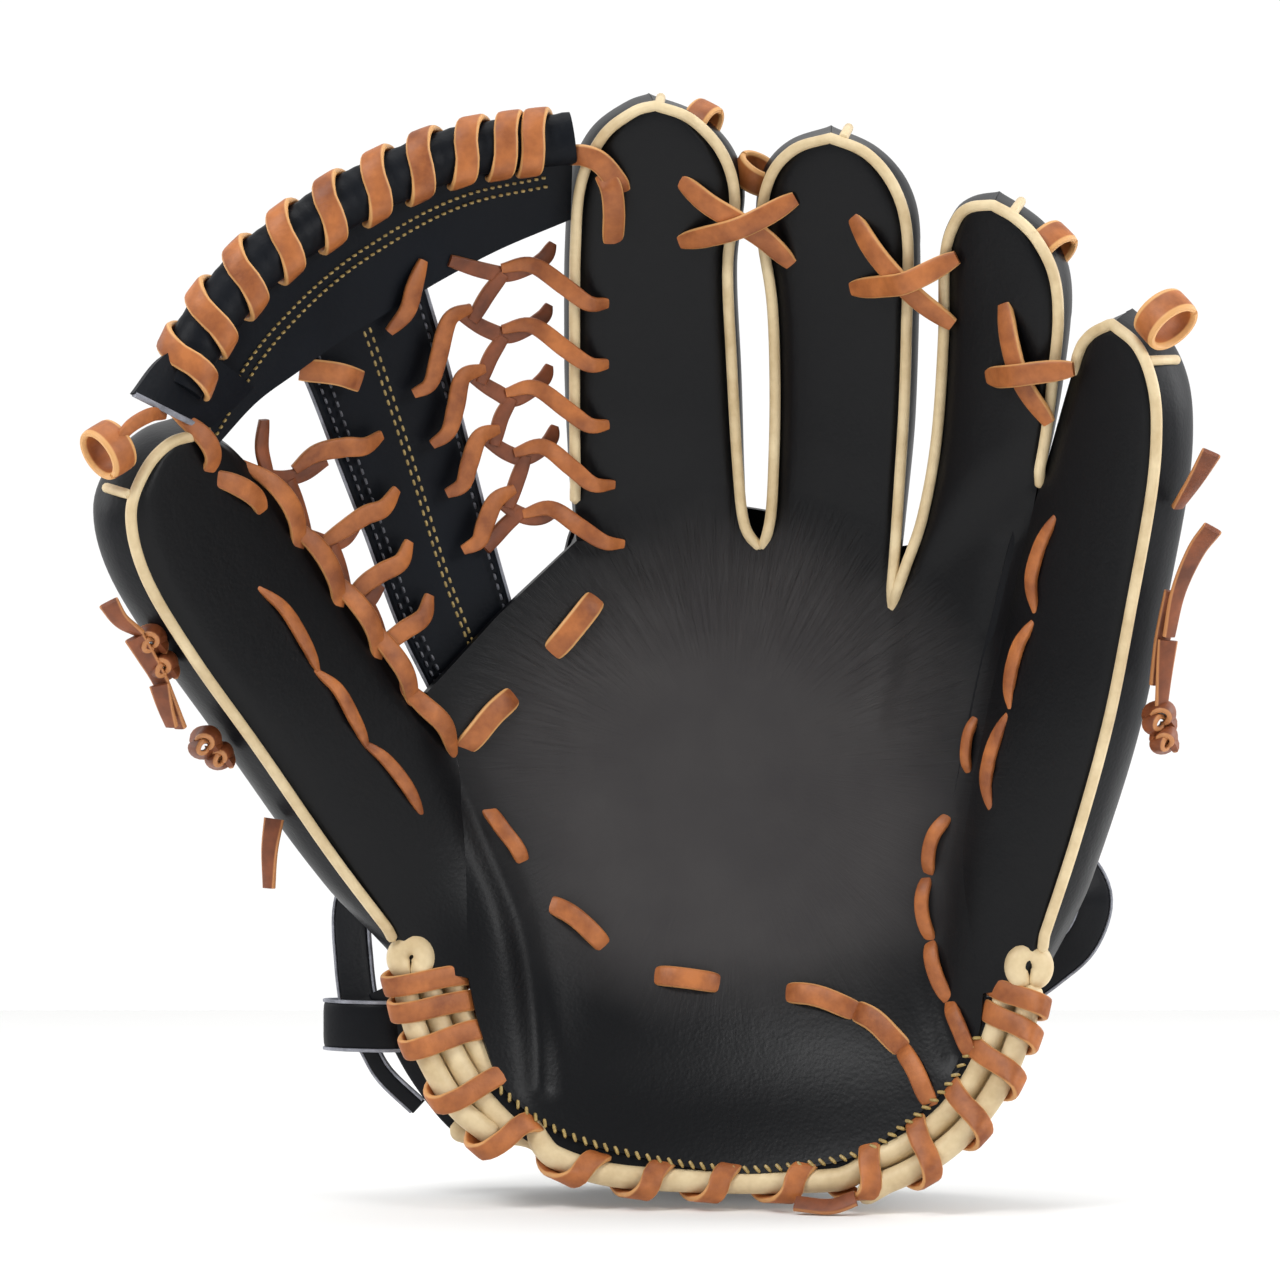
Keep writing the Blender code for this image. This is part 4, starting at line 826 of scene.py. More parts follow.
for pair, routes in tipRoutes.items():
    for layer, route in zip(("under", "over"), routes):
        replaced = f"tip_lace_{pair}_{layer}"
        name = "tipLace" + "".join(w.capitalize() for w in f"{pair}_{layer}".split("_"))
        makePiece(name, laceMesh(route, wide, thick, frontDepth, 0.62, 36, 5), tanLace, "hand", [replaced])

cornerRoutes = (
    ((-22.5, 291.0, -1.0), (-18.0, 292.2, 2.4), (-13.5, 291.0, 4.4), (-9.0, 286.0, 4.2), (-7.6, 283.0, 2.6)),
    ((-12.5, 287.6, 2.8), (-10.6, 284.5, 5.6), (-9.8, 278, 5.2), (-9.9, 269.0, 1.8)),
)
makePiece("indexCornerLace", joined([laceMesh(route, wide, thick, frontDepth, 0.85, 30, 6)
                                     for route in cornerRoutes]),
          tanLace, "hand", ["index_corner_lace"])
print("face laces ready")

# The loops of lace behind the tips: short tubes of lace, seen at a slant past the finger's edge. The tube's
# axis leans from the front by "tilt" towards "way", both in degrees.
loopSpots = {
    "little": dict(at=(137.0, 243.0), radius=6.2, width=8.5, tilt=58, way=-52, depth=8, body="little"),
    "ring": dict(at=(108.5, 264.0), radius=5.4, width=8.0, tilt=64, way=-48, depth=12, body="hand"),
    "middle": dict(at=(30.0, 287.5), radius=5.0, width=7.5, tilt=60, way=60, depth=13, body="hand"),
    "index": dict(at=(15.0, 301.5), radius=4.4, width=7.5, tilt=64, way=-30, depth=13, body="hand"),
    "thumb": dict(at=(-143.0, 208.5), radius=5.8, width=8.0, tilt=55, way=215, depth=7, body="thumb"),
}
for name, spot in loopSpots.items():
    tilt, way = math.radians(spot["tilt"]), math.radians(spot["way"])
    axis = np.array([math.sin(tilt) * math.cos(way), -math.cos(tilt), math.sin(tilt) * math.sin(way)])
    first = np.array([-math.sin(way), 0, math.cos(way)])
    second = np.cross(axis, first)
    angle = np.linspace(0.1, 2 * math.pi - 0.1, 44)[:, None]
    radial = first * np.cos(angle) * 1.12 + second * np.sin(angle)
    centre = lift(*spot["at"], frontDepth(*spot["at"]) + spot["depth"])
    makePiece(name + "TipLoop", sweepMesh(centre + spot["radius"] * radial, unit(radial),
                                          flatProfile(spot["width"], thick)), tanLace, spot["body"])
print("tip loops ready")

# The heel's rolled binding. A roll follows the heel line, moved across it by a share of the pitch.
heelShape = dict(
    line=((-62, 66), (-57.5, 50), (-48, 33), (-34, 19), (-15, 10.5), (8, 8.1), (40, 8.1), (62, 11), (80, 21),
          (92, 35), (99, 51), (102.5, 65)),
    radius=3.3, pitch=6.6, laceSize=(6.0, 2.0))
radius, rollSides = heelShape["radius"], 18
heelLine = through(heelShape["line"], 600)
heelShares = np.linspace(0, 1, 600)
heelTangent = unit(np.gradient(heelLine, axis=0))
heelOutward = np.stack([heelTangent[:, 1], -heelTangent[:, 0]], -1)


def rollPath(first, last, offset, count):
    shares = np.linspace(first, last, count)
    at = lambda values: np.stack([np.interp(shares, heelShares, values[:, k]) for k in (0, 1)], -1)
    flat = at(heelLine) + at(heelOutward) * (heelShape["pitch"] * offset(shares))[:, None]
    return lift(flat[:, 0], flat[:, 1], frontDepth(flat[:, 0], flat[:, 1]) + radius)


# The main roll shifts inward where others lie beside it. Each outer end turns over into its neighbour.
def mainOffset(t):
    return -(smooth((0.29 - t) / 0.07) + 0.5 * smooth((t - 0.64) / 0.06))


mainRoll = rollPath(0.0, 1.0, mainOffset, 260)
middleRoll = rollPath(0.0, 0.238, lambda t: 0 * t, 60)
outerRoll = rollPath(0.0, 0.222, lambda t: 0 * t + 1 - 0.3 * smooth((t - 0.16) / 0.06), 60)
rightRoll = rollPath(0.66, 1.0, lambda t: 0 * t + 0.5 + 0.25 * smooth((0.7 - t) / 0.04), 90)


# The turned-over end of the rolls: a ring of the same roll round a small hole, above their tops.
def knobPath(x, z, reach=(3.5, 3.7), count=40):
    angle = np.linspace(-0.54, 1.54, count) * math.pi
    return lift(x + reach[0] * np.cos(angle), z + reach[1] * np.sin(angle), frontDepth(x, z) + radius - 0.8)


rolls = {"heelRoll": ("heel_roll", mainRoll), "heelRollThumbMiddle": ("heel_roll_thumb_middle", middleRoll),
         "heelRollThumbOuter": ("heel_roll_thumb_outer", outerRoll, knobPath(-66.0, 69.6)),
         "heelRollLittleOuter": ("heel_roll_little_outer", rightRoll, knobPath(104.4, 68.6))}
for name, (node, *paths) in rolls.items():
    makePiece(name, joined([cordMesh(path, radius, rollSides) for path in paths]), cream, "hand", [node])

# The wraps of lace: a flat strip wound round the bundle, whose front crossings fall at chosen spots. Its
# angle falls by a full turn from one spot to the next, or rises where "way" is 1. Its section round the
# bundle is a superellipse, whose middle depth comes from the line's point or from the strip's own flat point.
heelWraps = ((-60.5, 63.5), (-58.5, 56.5), (-55.5, 47.5), (-47.5, 34), (-36.6, 22.6), (-17.7, 12.6), (1.1,
                                                                                                      9.2),
             (19.8, 8.4), (40.4, 8.4), (61.0, 11.2), (75.7, 18.4), (88, 29.5), (95.0, 42.5), (98.6, 53.5),
             (99.6, 61.0))


def bundleHalf(t):
    return radius * (1 + 2.1 * smooth((0.26 - t) / 0.06) + 1.05 * smooth((t - 0.65) / 0.05))


def wrapMesh(line, shares, spots, halfWide, deep, centreDepth, size, outward, way=-1, ease=0.1, perTurn=26):
    at = sharesAt(line, spots)
    gapFirst, gapLast = (at[1] - at[0]) * 0.4, (at[-1] - at[-2]) * 0.4
    knots = np.r_[at[0] - gapFirst, at, at[-1] + gapLast]
    turns = np.r_[-0.4, np.arange(len(at)), len(at) - 1 + 0.4]
    wanted = np.linspace(turns[0], turns[-1], len(at) * perTurn)
    # "ease" above 0 makes the crossings steeper, and below 0 more slanted
    eased = wanted - ease * np.sin(2 * math.pi * wanted) / (2 * math.pi)
    t = np.interp(eased, turns, knots)
    angle = -math.pi / 2 + way * 2 * math.pi * wanted
    pick = lambda values: np.stack([np.interp(t, shares, values[:, k]) for k in (0, 1)], -1)
    beside = np.sign(np.cos(angle)) * np.abs(np.cos(angle)) ** 0.62 * halfWide(t)
    flat = pick(line) + pick(outward) * beside[:, None]
    depth = centreDepth(pick(line), flat) + deep * np.sign(np.sin(angle)) * np.abs(np.sin(angle)) ** 0.62
    path = lift(flat[:, 0], flat[:, 1], depth)
    beyond = pick(outward)
    normal = unit(np.stack([beyond[:, 0] * np.cos(angle), np.sin(angle), beyond[:, 1] * np.cos(angle)], -1))
    return sweepMesh(path, normal, flatProfile(*size))


makePiece("heelLace", wrapMesh(heelLine, heelShares, heelWraps, lambda t: bundleHalf(t) + 1.3, radius + 1.3,
                               lambda middle, flat: frontDepth(flat[:, 0], flat[:, 1]) + radius,
                               heelShape["laceSize"], heelOutward), tanLace, "hand", ["heel_lace"])

# The strip that the rolls are sewn to, behind them, and the palm's turned edge beside them.
shares = np.linspace(0.01, 0.99, 240)
backing = rollPath(0.01, 0.99, lambda t: 0 * t, 240) + (0, radius - 0.6, 0)
spread = np.stack([(2 * bundleHalf(shares) - 3.4) / 10, np.ones(240)], -1)
makePiece("heelBacking", sweepMesh(backing, frontWay, flatProfile(10, 2.0),
                                   spread), cream)
turned = through(((-43.6, 33), (-34, 23.6), (-21.6, 17), (-3, 12.4), (15, 10.0), (31, 9.4), (57, 13.2),
                  (72.4, 22),
                  (85, 34.6), (92.6, 49), (93.6, 60)), 200)
path = lift(turned[:, 0], turned[:, 1], palmDepth(turned[:, 0], turned[:, 1]) + 3.0)
makePiece("palmTurnedEdge", sweepMesh(path, frontWay, flatProfile(7.5, 2.2)),
          blackLeather)

# Toothed gold stitches along the palm's lower edge.
edgeLine = through(((-42, 34.0), (-32, 26.0), (-20.6, 20.0), (-2.4, 14.9), (15, 12.2), (31, 11.6), (56.4,
                                                                                                    15.8),
                    (71, 24.6), (83.2, 36.4), (91.2, 50)), 240)
path, normal = onSurface(edgeLine, 0.25 + 0 * edgeLine[:, 0], palmDepth)
makePiece("heelToothStitches", stitchMesh(path, normal, 3.0, 0.9, 0.5, 0.2, 0.9), thread)
print("heel ready")

# The web's top bar: a black strip rolled round a core, cut square at its thumb end.
barShape = dict(
    line=((-126, 225.6), (-118.4, 242.2), (-104.2, 260), (-86.4, 274.2), (-67.6, 285.1), (-48.8, 292.1),
          (-20.4, 296.3)),
    halfWide=7.2, halfDeep=5.4, laceSize=(6.6, 2.0),
    wraps=((-121, 232), (-115.5, 243.5), (-106.5, 254.5), (-96.5, 264.2), (-85, 273), (-73, 280.5), (-61,
                                                                                                     286.2),
           (-49, 290.8), (-38.6, 293.8), (-31.5, 295.6)))
barLine = through(barShape["line"], 400)
barShares = np.linspace(0, 1, 400)
barTangent = unit(np.gradient(barLine, axis=0))
barOutward = np.stack([-barTangent[:, 1], barTangent[:, 0]], -1)
barPath = lift(barLine[::2, 0], barLine[::2, 1], webDepth(barLine[::2, 0], barLine[::2, 1]))
ripple = 1 + 0.016 * np.sin(np.arange(200) * 0.42) + 0.01 * np.sin(np.arange(200) * 1.13)
barProfile = roundProfile(1, 24) * (barShape["halfWide"], barShape["halfDeep"])
makePiece("webBar", sweepMesh(barPath, frontWay, barProfile, np.stack([ripple, ripple], -1)), webLeather,
          "thumb",
          ["web_bar"])
makePiece("webBarLace", wrapMesh(barLine, barShares, barShape["wraps"],
                                 lambda t: 0 * t + barShape["halfWide"] + 1.2, barShape["halfDeep"] + 1.3,
                                 lambda middle, flat: webDepth(middle[:, 0], middle[:, 1]),
                                 barShape["laceSize"], barOutward, 1, -0.35),
          tanLace, "thumb", ["web_bar_lace"])

# The strip's cut end beyond the last wrap, with its grey raw edge.
endLeft = through(((-121.5, 238.5), (-129.5, 233), (-136.2, 223.6)), 14)
endRight = through(((-106.5, 226.5), (-112.5, 220), (-118.6, 214.8)), 14)
u = np.linspace(0, 1, 15)
flat = endLeft[:, None] * (1 - u)[None, :, None] + endRight[:, None] * u[None, :, None]
depth = webDepth(flat[..., 0], flat[..., 1]) - 6.2 * np.sin(math.pi * (0.12 + 0.76 * u))[None] + 1.0
endGrid = lift(flat[..., 0], flat[..., 1], depth)
makePiece("webBarEnd", sheetMesh(endGrid[::-1], 2.4), webLeather, "thumb")
edge = endGrid[-1] + (0, 1.0, -0.4)
makePiece("webBarRawEdge", sweepMesh(edge, frontWay, flatProfile(1.6, 2.6)),
          rawEdge, "thumb")

# The flap that hangs from the bar, two leathers sewn together along a double row of gold stitches.
flapShape = dict(top=((-121, 221), (-113.8, 238), (-100.2, 255), (-83, 269), (-65, 279.6), (-46.6, 286.2),
                      (-20.8, 291)),
                 bottom=((-116, 211), (-106.2, 222.5), (-95.7, 231.0), (-83.3, 240.6), (-71, 248.5), (-57.2,
                                                                                                      257.3),
                         (-40.7, 266.3), (-21.4, 274.6)),
                 stitches=((-117.8, 213.5), (-106.2, 234.0), (-95.7, 247.2), (-84.7, 257.9), (-73.7, 266.1),
                           (-60, 274.6), (-46.2, 280.4), (-27.5, 284.6)),
                 thickness=2.6)
top, bottom = through(flapShape["top"], 90), through(flapShape["bottom"], 90)
share = np.linspace(0, 1, 22)[:, None, None]
flat = bottom * (1 - share) + top * share
sag = 0.5 * np.sin(flat[..., 0] * 0.21) * np.sin(math.pi * share[..., 0]) + 1.2 * np.sin(math.pi * share[...,
                                                                                                         0])
flapGrid = lift(flat[..., 0], flat[..., 1], webDepth(flat[..., 0], flat[..., 1]) + 0.6 + sag * 0.6)
makePiece("webFlap", sheetMesh(flapGrid, flapShape["thickness"]), webLeather, "thumb", ["web_flap"])


def flapDepth(x, z):
    return webDepth(x, z) + 0.8


def offsetLine(line, by):
    tangent = unit(np.gradient(line, axis=0))
    return line + np.stack([-tangent[:, 1], tangent[:, 0]], -1) * by


stitchLine = through(flapShape["stitches"], 300)
rows = [onSurface(offsetLine(stitchLine, by), 0 * stitchLine[:, 0] - 0.1, flapDepth) for by in (-1.2, 1.2)]
makePiece("webFlapStitches", joined([stitchMesh(path, normal, 2.1, 0.62, 0.42, 0.1, 0.25) for path,
                                     normal in rows]),
          thread, "thumb")

# The centre post: from behind the flap down to the palm, folded back at its long edges and sewn.
postShape = dict(left=((-97.5, 238), (-92.5, 226), (-86, 208), (-78, 186), (-70, 163), (-60.5, 143)),
                 right=((-64, 264), (-60.5, 252), (-56, 236), (-50, 212), (-44, 188), (-38.5, 168)),
                 thickness=2.8)
left, right = through(postShape["left"], 70), through(postShape["right"], 70)
u = np.linspace(-1, 1, 27)
flat = left[:, None] * ((1 - u) / 2)[None, :, None] + right[:, None] * ((1 + u) / 2)[None, :, None]
foldRise = 1.3 * smooth((np.abs(u) - 0.8) / 0.12) * (1 - smooth((np.abs(u) - 0.95) / 0.05))


def postDepth(x, z):
    return webDepth(x, z) + 3.4


postGrid = lift(flat[..., 0], flat[..., 1], postDepth(flat[..., 0], flat[...,
                                                                         1]) + 0.7 - foldRise[None])[::-1]
makePiece("webPost", sheetMesh(postGrid, postShape["thickness"]), webLeather, "thumb",
          ["web_post"])
postRows = {"webPostCentreStitches": ((0.0, 0.09), 0.7, thread),
            "webPostEdgeStitches": ((-0.86, -0.72, 0.84), -0.55, greyThread)}
for name, (places, sink, finish) in postRows.items():
    made = []
    for place in places:
        line = left * (1 - place) / 2 + right * (1 + place) / 2
        path, normal = onSurface(line, 0 * line[:, 0] - sink, postDepth)
        made.append(stitchMesh(path, normal, 3.0, 0.66, 0.4, 0.1))
    makePiece(name, joined(made), finish, "thumb")
edges = [lift(line[:, 0], line[:, 1], postDepth(line[:, 0], line[:, 1]) + 1.4) for line in (left, right)]
makePiece("webPostRawEdges", joined([sweepMesh(line, frontWay, flatProfile(0.9, 2.9)) for line in edges]),
          rawEdge, "thumb")

# The web's lacing: hooks over the finger's edge and over the post's, chains of turns that hang from each
# other, and the braid along the thumb. Each lace is its flat spots, and "proud" is how far it stands out at
# even steps along it.
braidLeaves = (
    ((-126.8, 219.3), (-122.2, 213.1), (-120.2, 207.1), (-121, 200.6)),
    ((-122.6, 203.1), (-115.5, 201.0), (-109.0, 196.6), (-105.0, 190.1)),
    ((-110.5, 206.4), (-104.0, 200.4), (-98.9, 191.3), (-96.1, 178.6)),
    ((-101.1, 192.6), (-94.0, 184.7), (-88.6, 174.8), (-85.4, 163.8)),
    ((-90.5, 178.9), (-83.0, 168.8), (-78.2, 160.5), (-75.0, 150.6)),
    ((-81.1, 167.2), (-73.9, 155.6), (-69.0, 147.3), (-65.1, 136.8)),
    ((-71.2, 148.4), (-64.6, 140.2), (-58.6, 134.1), (-54.1, 125.4)),
)
netLaces = {
    "webNetIndexHooks": dict(bend="thumb", proud=(-0.4, 1.0, 6.0, 7.4, 4.0), width=5.0, routes=(
        ((-40.5, 261.0), (-32.5, 262.4), (-24.2, 258.0), (-17.3, 253.8), (-10.5, 253.3)),
        ((-40.5, 244.4), (-32.5, 245.9), (-24.2, 240.8), (-17.3, 236.8), (-10.5, 236.5)),
        ((-39.6, 227.0), (-31.9, 228.8), (-23.7, 223.7), (-17.3, 219.7), (-10.5, 219.5)),
        ((-37.4, 210.4), (-29.7, 212.5), (-22.8, 207.7), (-16.5, 203), (-9.9, 202.4)),
        ((-35.0, 193.4), (-27.5, 195.2), (-20.1, 190.6), (-13.2, 186.5), (-7.2, 185.6)))),
    "webNetIndexBackTurns": dict(finish=darkLace, bend="thumb", proud=(-2.0, -3.4, -4.4), width=4.4, routes=(
        ((-33.0, 260.6), (-28.0, 263.2), (-25.5, 267.0)), ((-34.0, 244.2), (-28.6, 247.2), (-26.6, 250.4)),
        ((-33.4, 226.6), (-28.4, 230.4), (-26.6, 234.0)), ((-30.2, 210.6), (-26.6, 213.8), (-25.2, 217.4)))),
    "webNetIndexChain": dict(finish=darkLace, node="web_net_index", bend="thumb", proud=(-0.6, -1.0, -1.0,
                                                                                         0.0),
                             width=4.6, ends=0.72, routes=(
        ((-54.5, 262.6), (-44.8, 260.0), (-38.5, 259.3), (-31.6, 261.6)),
        ((-39.7, 259.5), (-44, 253.8), (-48.8, 246.5)),
        ((-52.0, 248.4), (-44.8, 244.3), (-38.5, 242.6), (-31.9, 245.2)),
        ((-39.9, 242.4), (-43.5, 236.5), (-46.6, 229.6)),
        ((-48.4, 231.0), (-42.1, 227.2), (-37.4, 225.2), (-31.5, 228.0)),
        ((-37.7, 225.6), (-40.7, 220), (-43.0, 212.5)),
        ((-45.0, 214.0), (-38.8, 210.2), (-34.1, 209.1), (-28.4, 212.0)),
        ((-34.0, 209.6), (-36.6, 202.1), (-39.2, 195.2)),
        ((-40.6, 196.2), (-34.7, 192.9), (-29.7, 192.6), (-25.2, 195.2)),
        ((-35.0, 194.2), (-39.6, 190.2), (-45.5, 183.6)))),
    "webNetPostHooks": dict(node="web_spine_index", proud=(-0.4, 1.6, 2.2, 2.4, 0.6), width=5.4, routes=(
        ((-61.7, 262.4), (-65.0, 256.0), (-67.5, 249.0), (-71.6, 243.0)),
        ((-49.0, 250.0), (-55.6, 247.0), (-59.0, 236.5), (-61.4, 229.5), (-65.2, 226.4)),
        ((-45.4, 233.6), (-52.0, 231.4), (-54.3, 223.4), (-56.5, 216.4), (-60.3, 212.5)),
        ((-41.6, 217.0), (-47.6, 214.9), (-50.6, 207.8), (-52.6, 201.8), (-56.4, 199.0)),
        ((-37.4, 200.4), (-43.2, 197.2), (-46.4, 190.6), (-48.2, 186.0), (-52.0, 183.3)))),
    "webNetThumbHooks": dict(node="web_net_thumb", proud=(-0.6, 1.2, 2.0, 2.2, 0.4), width=5.6, routes=(
        ((-96.5, 204.6), (-91.7, 209.4), (-84.5, 211.4), (-79.1, 211.9), (-74.0, 214.8)),
        ((-89.5, 184.6), (-84.3, 188.9), (-79.2, 192.8), (-74.2, 195), (-70.0, 199.9)),
        ((-83.4, 167.2), (-79.7, 173.1), (-74.8, 177.0), (-69.6, 180.1), (-66.7, 185.5)),
        ((-76.8, 153.6), (-73.1, 157.3), (-68.8, 160.9), (-63.6, 164.7), (-61.2, 170.6)))),
    "webNetThumbChain": dict(finish=darkLace, node="web_spine_thumb", proud=(-0.6, -1.0, 0.0), width=4.4,
                             ends=0.7, routes=(
        ((-104, 217.9), (-104.4, 209.8), (-103.2, 202.0)),
        ((-109.8, 204.9), (-101.2, 202.2), (-94.3, 203.4), (-88.5, 207.4)),
        ((-97.6, 202.0), (-95.2, 194.4), (-93.3, 185.0)),
        ((-93.5, 187.2), (-87.5, 184.7), (-83.3, 186.0), (-80.2, 190.4)),
        ((-86.4, 184.4), (-84.2, 176.8), (-82.9, 168.0)),
        ((-84.7, 170.2), (-79.8, 167.9), (-77, 168.9), (-74.2, 173.4)),
        ((-77.1, 168.4), (-74.4, 160.9), (-73.1, 153.4)))),
    "webThumbBraid": dict(proud=(-1.0, 4.4, 4.6, -0.2), width=5.8, thickness=1.8, ends=0.34, spread=2.0,
                          routes=braidLeaves),
    "webThumbBraidUnder": dict(finish=darkLace, proud=(-0.4, 0.8, 1.0, -0.6), width=4.8, ends=0.4,
                               routes=[[(x - 1.6, z - 6.4) for x, z in leaf] for leaf in braidLeaves[1:-1]]),
    "webThumbTopLoop": dict(proud=(1.0, 3.4, 3.6, 0.5), width=4.0,
                            routes=(((-141.6, 209.6), (-139.5, 215.0), (-134.5, 218.4), (-129.5, 218.0)),)),
    "webPostKeeper": dict(proud=(-3.2, 2.2, 2.0), width=6.4, thickness=1.9, ends=0.95, spread=6,
                          routes=(((-93.2, 231.4), (-86.3, 231.4), (-80.2, 229.6)),)),
}
for name, lace in netLaces.items():
    made = []
    for route in lace["routes"]:
        high = np.interp(np.linspace(0, 1, len(route)), np.linspace(0, 1, len(lace["proud"])), lace["proud"])
        made.append(laceMesh(np.column_stack([route, high]), lace["width"], lace.get("thickness", 1.7),
                             webDepth,
                             lace.get("ends", 0.5), 34, lace.get("spread", 2.4)))
    makePiece(name, joined(made), lace.get("finish", tanLace), "thumb",
              [lace["node"]] if "node" in lace else (),
              lace.get("bend"))
print("web ready")


fineStitch = (3.0, 0.68, 0.45, 0.1)
backWay = (0.0, 1.0, 0.0)

# Seams down the back of each stall: two rows of stitches beside a raised welt.
seamShape = dict(beside=2, rows=(3, 62), weltRadius=1.0)
for name, grid in shells.items():
    outside, body, (first, last) = grid[:, ::-1], stallShapes[name]["body"], seamShape["rows"]
    middle = outside.shape[1] // 2
    normal = gridNormals(outside)
    rows = [stitchMesh(through(outside[first:last, k], 160), through(normal[first:last, k], 160), *fineStitch)
            for k in (middle - seamShape["beside"], middle + seamShape["beside"])]
    makePiece(name + "BackStitches", joined(rows), thread, body)
    line = through((outside + normal * 0.2)[first:last, middle], 120)
    makePiece(name + "BackWelt", cordMesh(line, seamShape["weltRadius"], 10, backWay), blackLeather, body)

# The back leather: an arch round the opening over the back of the hand, padded round the opening, whose
# legs tuck into the cuff and whose top lies over the feet of the fingers. "reach" is how far its outer edge
# is from the middle of the arch, by the angle in degrees.
backShape = dict(x=24.0, z=84.0, foot=44.0, inner=(33.5, 35.0), thickness=2.6, legRows=20, archRows=141,
                 reach=((180, 70.5), (160, 73.4), (145, 80.4), (132.4, 92), (119.5, 103.4), (111.4, 119),
                        (102.8, 117), (90, 113), (77.5, 110.6), (67.7, 109), (60.9, 117), (56.8, 127),
                        (53, 122), (47.9, 110.5), (36.3, 84.4), (19.5, 65.8), (0, 62)))


# Depth of the back: the hand's thickness, crowned across, easing into the fingers' backs above.
def backDepth(x, z):
    s = cupShape
    hand = 27 + 15 * np.clip(1 - ((x - 22) / 72) ** 2, 0, 1)
    fingers = 33.4 - 3.2 * smooth((x - 60) / 20)
    deep = hand + smooth((z - 118) / 66) * (fingers - hand)
    heel = s["heelRise"] * np.clip((s["heelTop"] - z) / s["heelTop"], 0, 1) ** 2
    return frontDepth(x, z) + heel + deep - 3.0 * smooth((60 - z) / 12)


# A line of the back leather: straight up one leg, round the arch at equal angles, and down the other.
def backRing(share):
    b = backShape
    angle = np.radians(np.linspace(180, 0, b["archRows"]))
    table = through(b["reach"], 240)[::-1]
    reach = np.interp(np.degrees(angle), table[:, 0], table[:, 1])
    inner = np.stack([b["x"] + b["inner"][0] * np.cos(angle), b["z"] + b["inner"][1] * np.sin(angle)], -1)
    outer = np.stack([b["x"] + reach * np.cos(angle), b["z"] + reach * np.sin(angle)], -1)
    arch = inner * (1 - share) + outer * share
    rise = np.linspace(b["foot"], b["z"], b["legRows"])[:-1]
    left, right = (np.stack([np.full(len(rise), arch[k, 0]), rise], -1) for k in (0, -1))
    return np.vstack([left, arch, right[::-1]])


shares = np.linspace(0, 1, 37)
flat = np.stack([backRing(share) for share in shares])
puff = (1.8 * np.exp(-((shares - 0.16) / 0.1) ** 2) + 0.8 * np.exp(-((shares - 0.62) / 0.2) ** 2))[:, None]
backGrid = lift(flat[..., 0], flat[..., 1], backDepth(flat[..., 0], flat[..., 1]) + puff)
makePiece("backPanel", sheetMesh(backGrid, backShape["thickness"], backWay), blackLeather, "hand",
          ["back_panel"])


# A line of the back leather at a distance in mm beyond its opening, or, where that is negative, inside its
# outer edge.
def backLine(beyond, proud):
    inner, outer = (atShares(backRing(share), np.linspace(0, 1, 240)) for share in (0, 1))
    reach = np.linalg.norm(outer - inner, axis=1)
    share = beyond / reach if beyond >= 0 else 1 + beyond / reach
    spots = inner + (outer - inner) * share[:, None]
    depth = backDepth(spots[:, 0], spots[:, 1]) + np.interp(share, shares, puff[:, 0]) + proud
    return lift(spots[:, 0], spots[:, 1], depth)


makePiece("backOpeningBinding", cordMesh(backLine(0.0, -1.2), 2.3, 14, backWay), blackLeather)
rows = [backLine(beyond, 0.1) for beyond in (5.0, 19.0, 21.6, -3.4)]
makePiece("backPanelStitches", joined([stitchMesh(path, 0 * path + backWay, *fineStitch) for path in rows]),
          thread)

# The walls beside the thumb and little stalls that join the palm to the back of the hand, from the foot up:
# the flat points of the front edge, then those of the back edge.
sideShape = dict(
    thickness=2.0,
    handSideThumb=(((-45.5, 46), (-47.6, 62), (-48, 80), (-48.3, 94), (-49.4, 110), (-51.9, 127), (-57.5,
                                                                                                   143),
                    (-40.5, 162.5), (-21, 182.5)),
                   ((-43.5, 46), (-45, 62), (-46, 84), (-45.4, 98), (-44, 113), (-41.5, 130), (-38.5, 148),
                    (-28, 171), (-19.5, 192))),
    handSideLittle=(((87, 46), (89.5, 61), (87, 74), (84.5, 98), (90, 135), (97, 168), (103.4, 195)),
                    ((84, 46), (85.2, 66), (85.2, 84), (85.6, 104), (91.2, 133), (97.2, 165), (97.5, 191))))


def wallGrid(front, back):
    share = np.linspace(0, 1, 16)[None, :, None]
    rails = []
    for edge, depthOf, by in ((front, frontDepth, 3.0), (back, backDepth, -1.6)):
        spots = through(edge, 90)
        rails.append(lift(spots[:, 0], spots[:, 1], depthOf(spots[:, 0], spots[:, 1]) + by))
    return rails[0][:, None] * (1 - share) + rails[1][:, None] * share


for name, node, outward in (("handSideThumb", "hand_side_thumb", (-1, 0, 0)),
                            ("handSideLittle", "hand_side_little", (1, 0, 0))):
    makePiece(name, sheetMesh(wallGrid(*sideShape[name]), sideShape["thickness"], outward), blackLeather,
              "hand",
              [node])
print("back ready")

# The cuff seen from above: x = centre - half cos(angle), its depth a rounded bow between the two sides. Its
# hem keeps behind the heel's outline, given as (x, z).
cuffShape = dict(centreX=20.0, halfX=92.0, thumbY=6.0, littleY=-16.0, depth=55.0, roundness=0.75,
                 endRise=19.0,
                 hem=((-72, 68.8), (-68, 56), (-57, 34), (-46, 20.6), (-24, 12), (-2, 7), (25, 4.7), (50, 7),
                      (69, 9.6), (85.8, 18), (99.5, 34), (106, 51), (109, 68.8)))


# A height on the cuff: a number rises with the top edge towards the ends, and a pair is the least height and
# how far it stays above the hem.
def cuffHeight(value, x, rise):
    if isinstance(value, tuple):
        hem = np.array(cuffShape["hem"])
        return np.maximum(value[0], np.interp(x, hem[:, 0], hem[:, 1]) + value[1])
    return value + rise


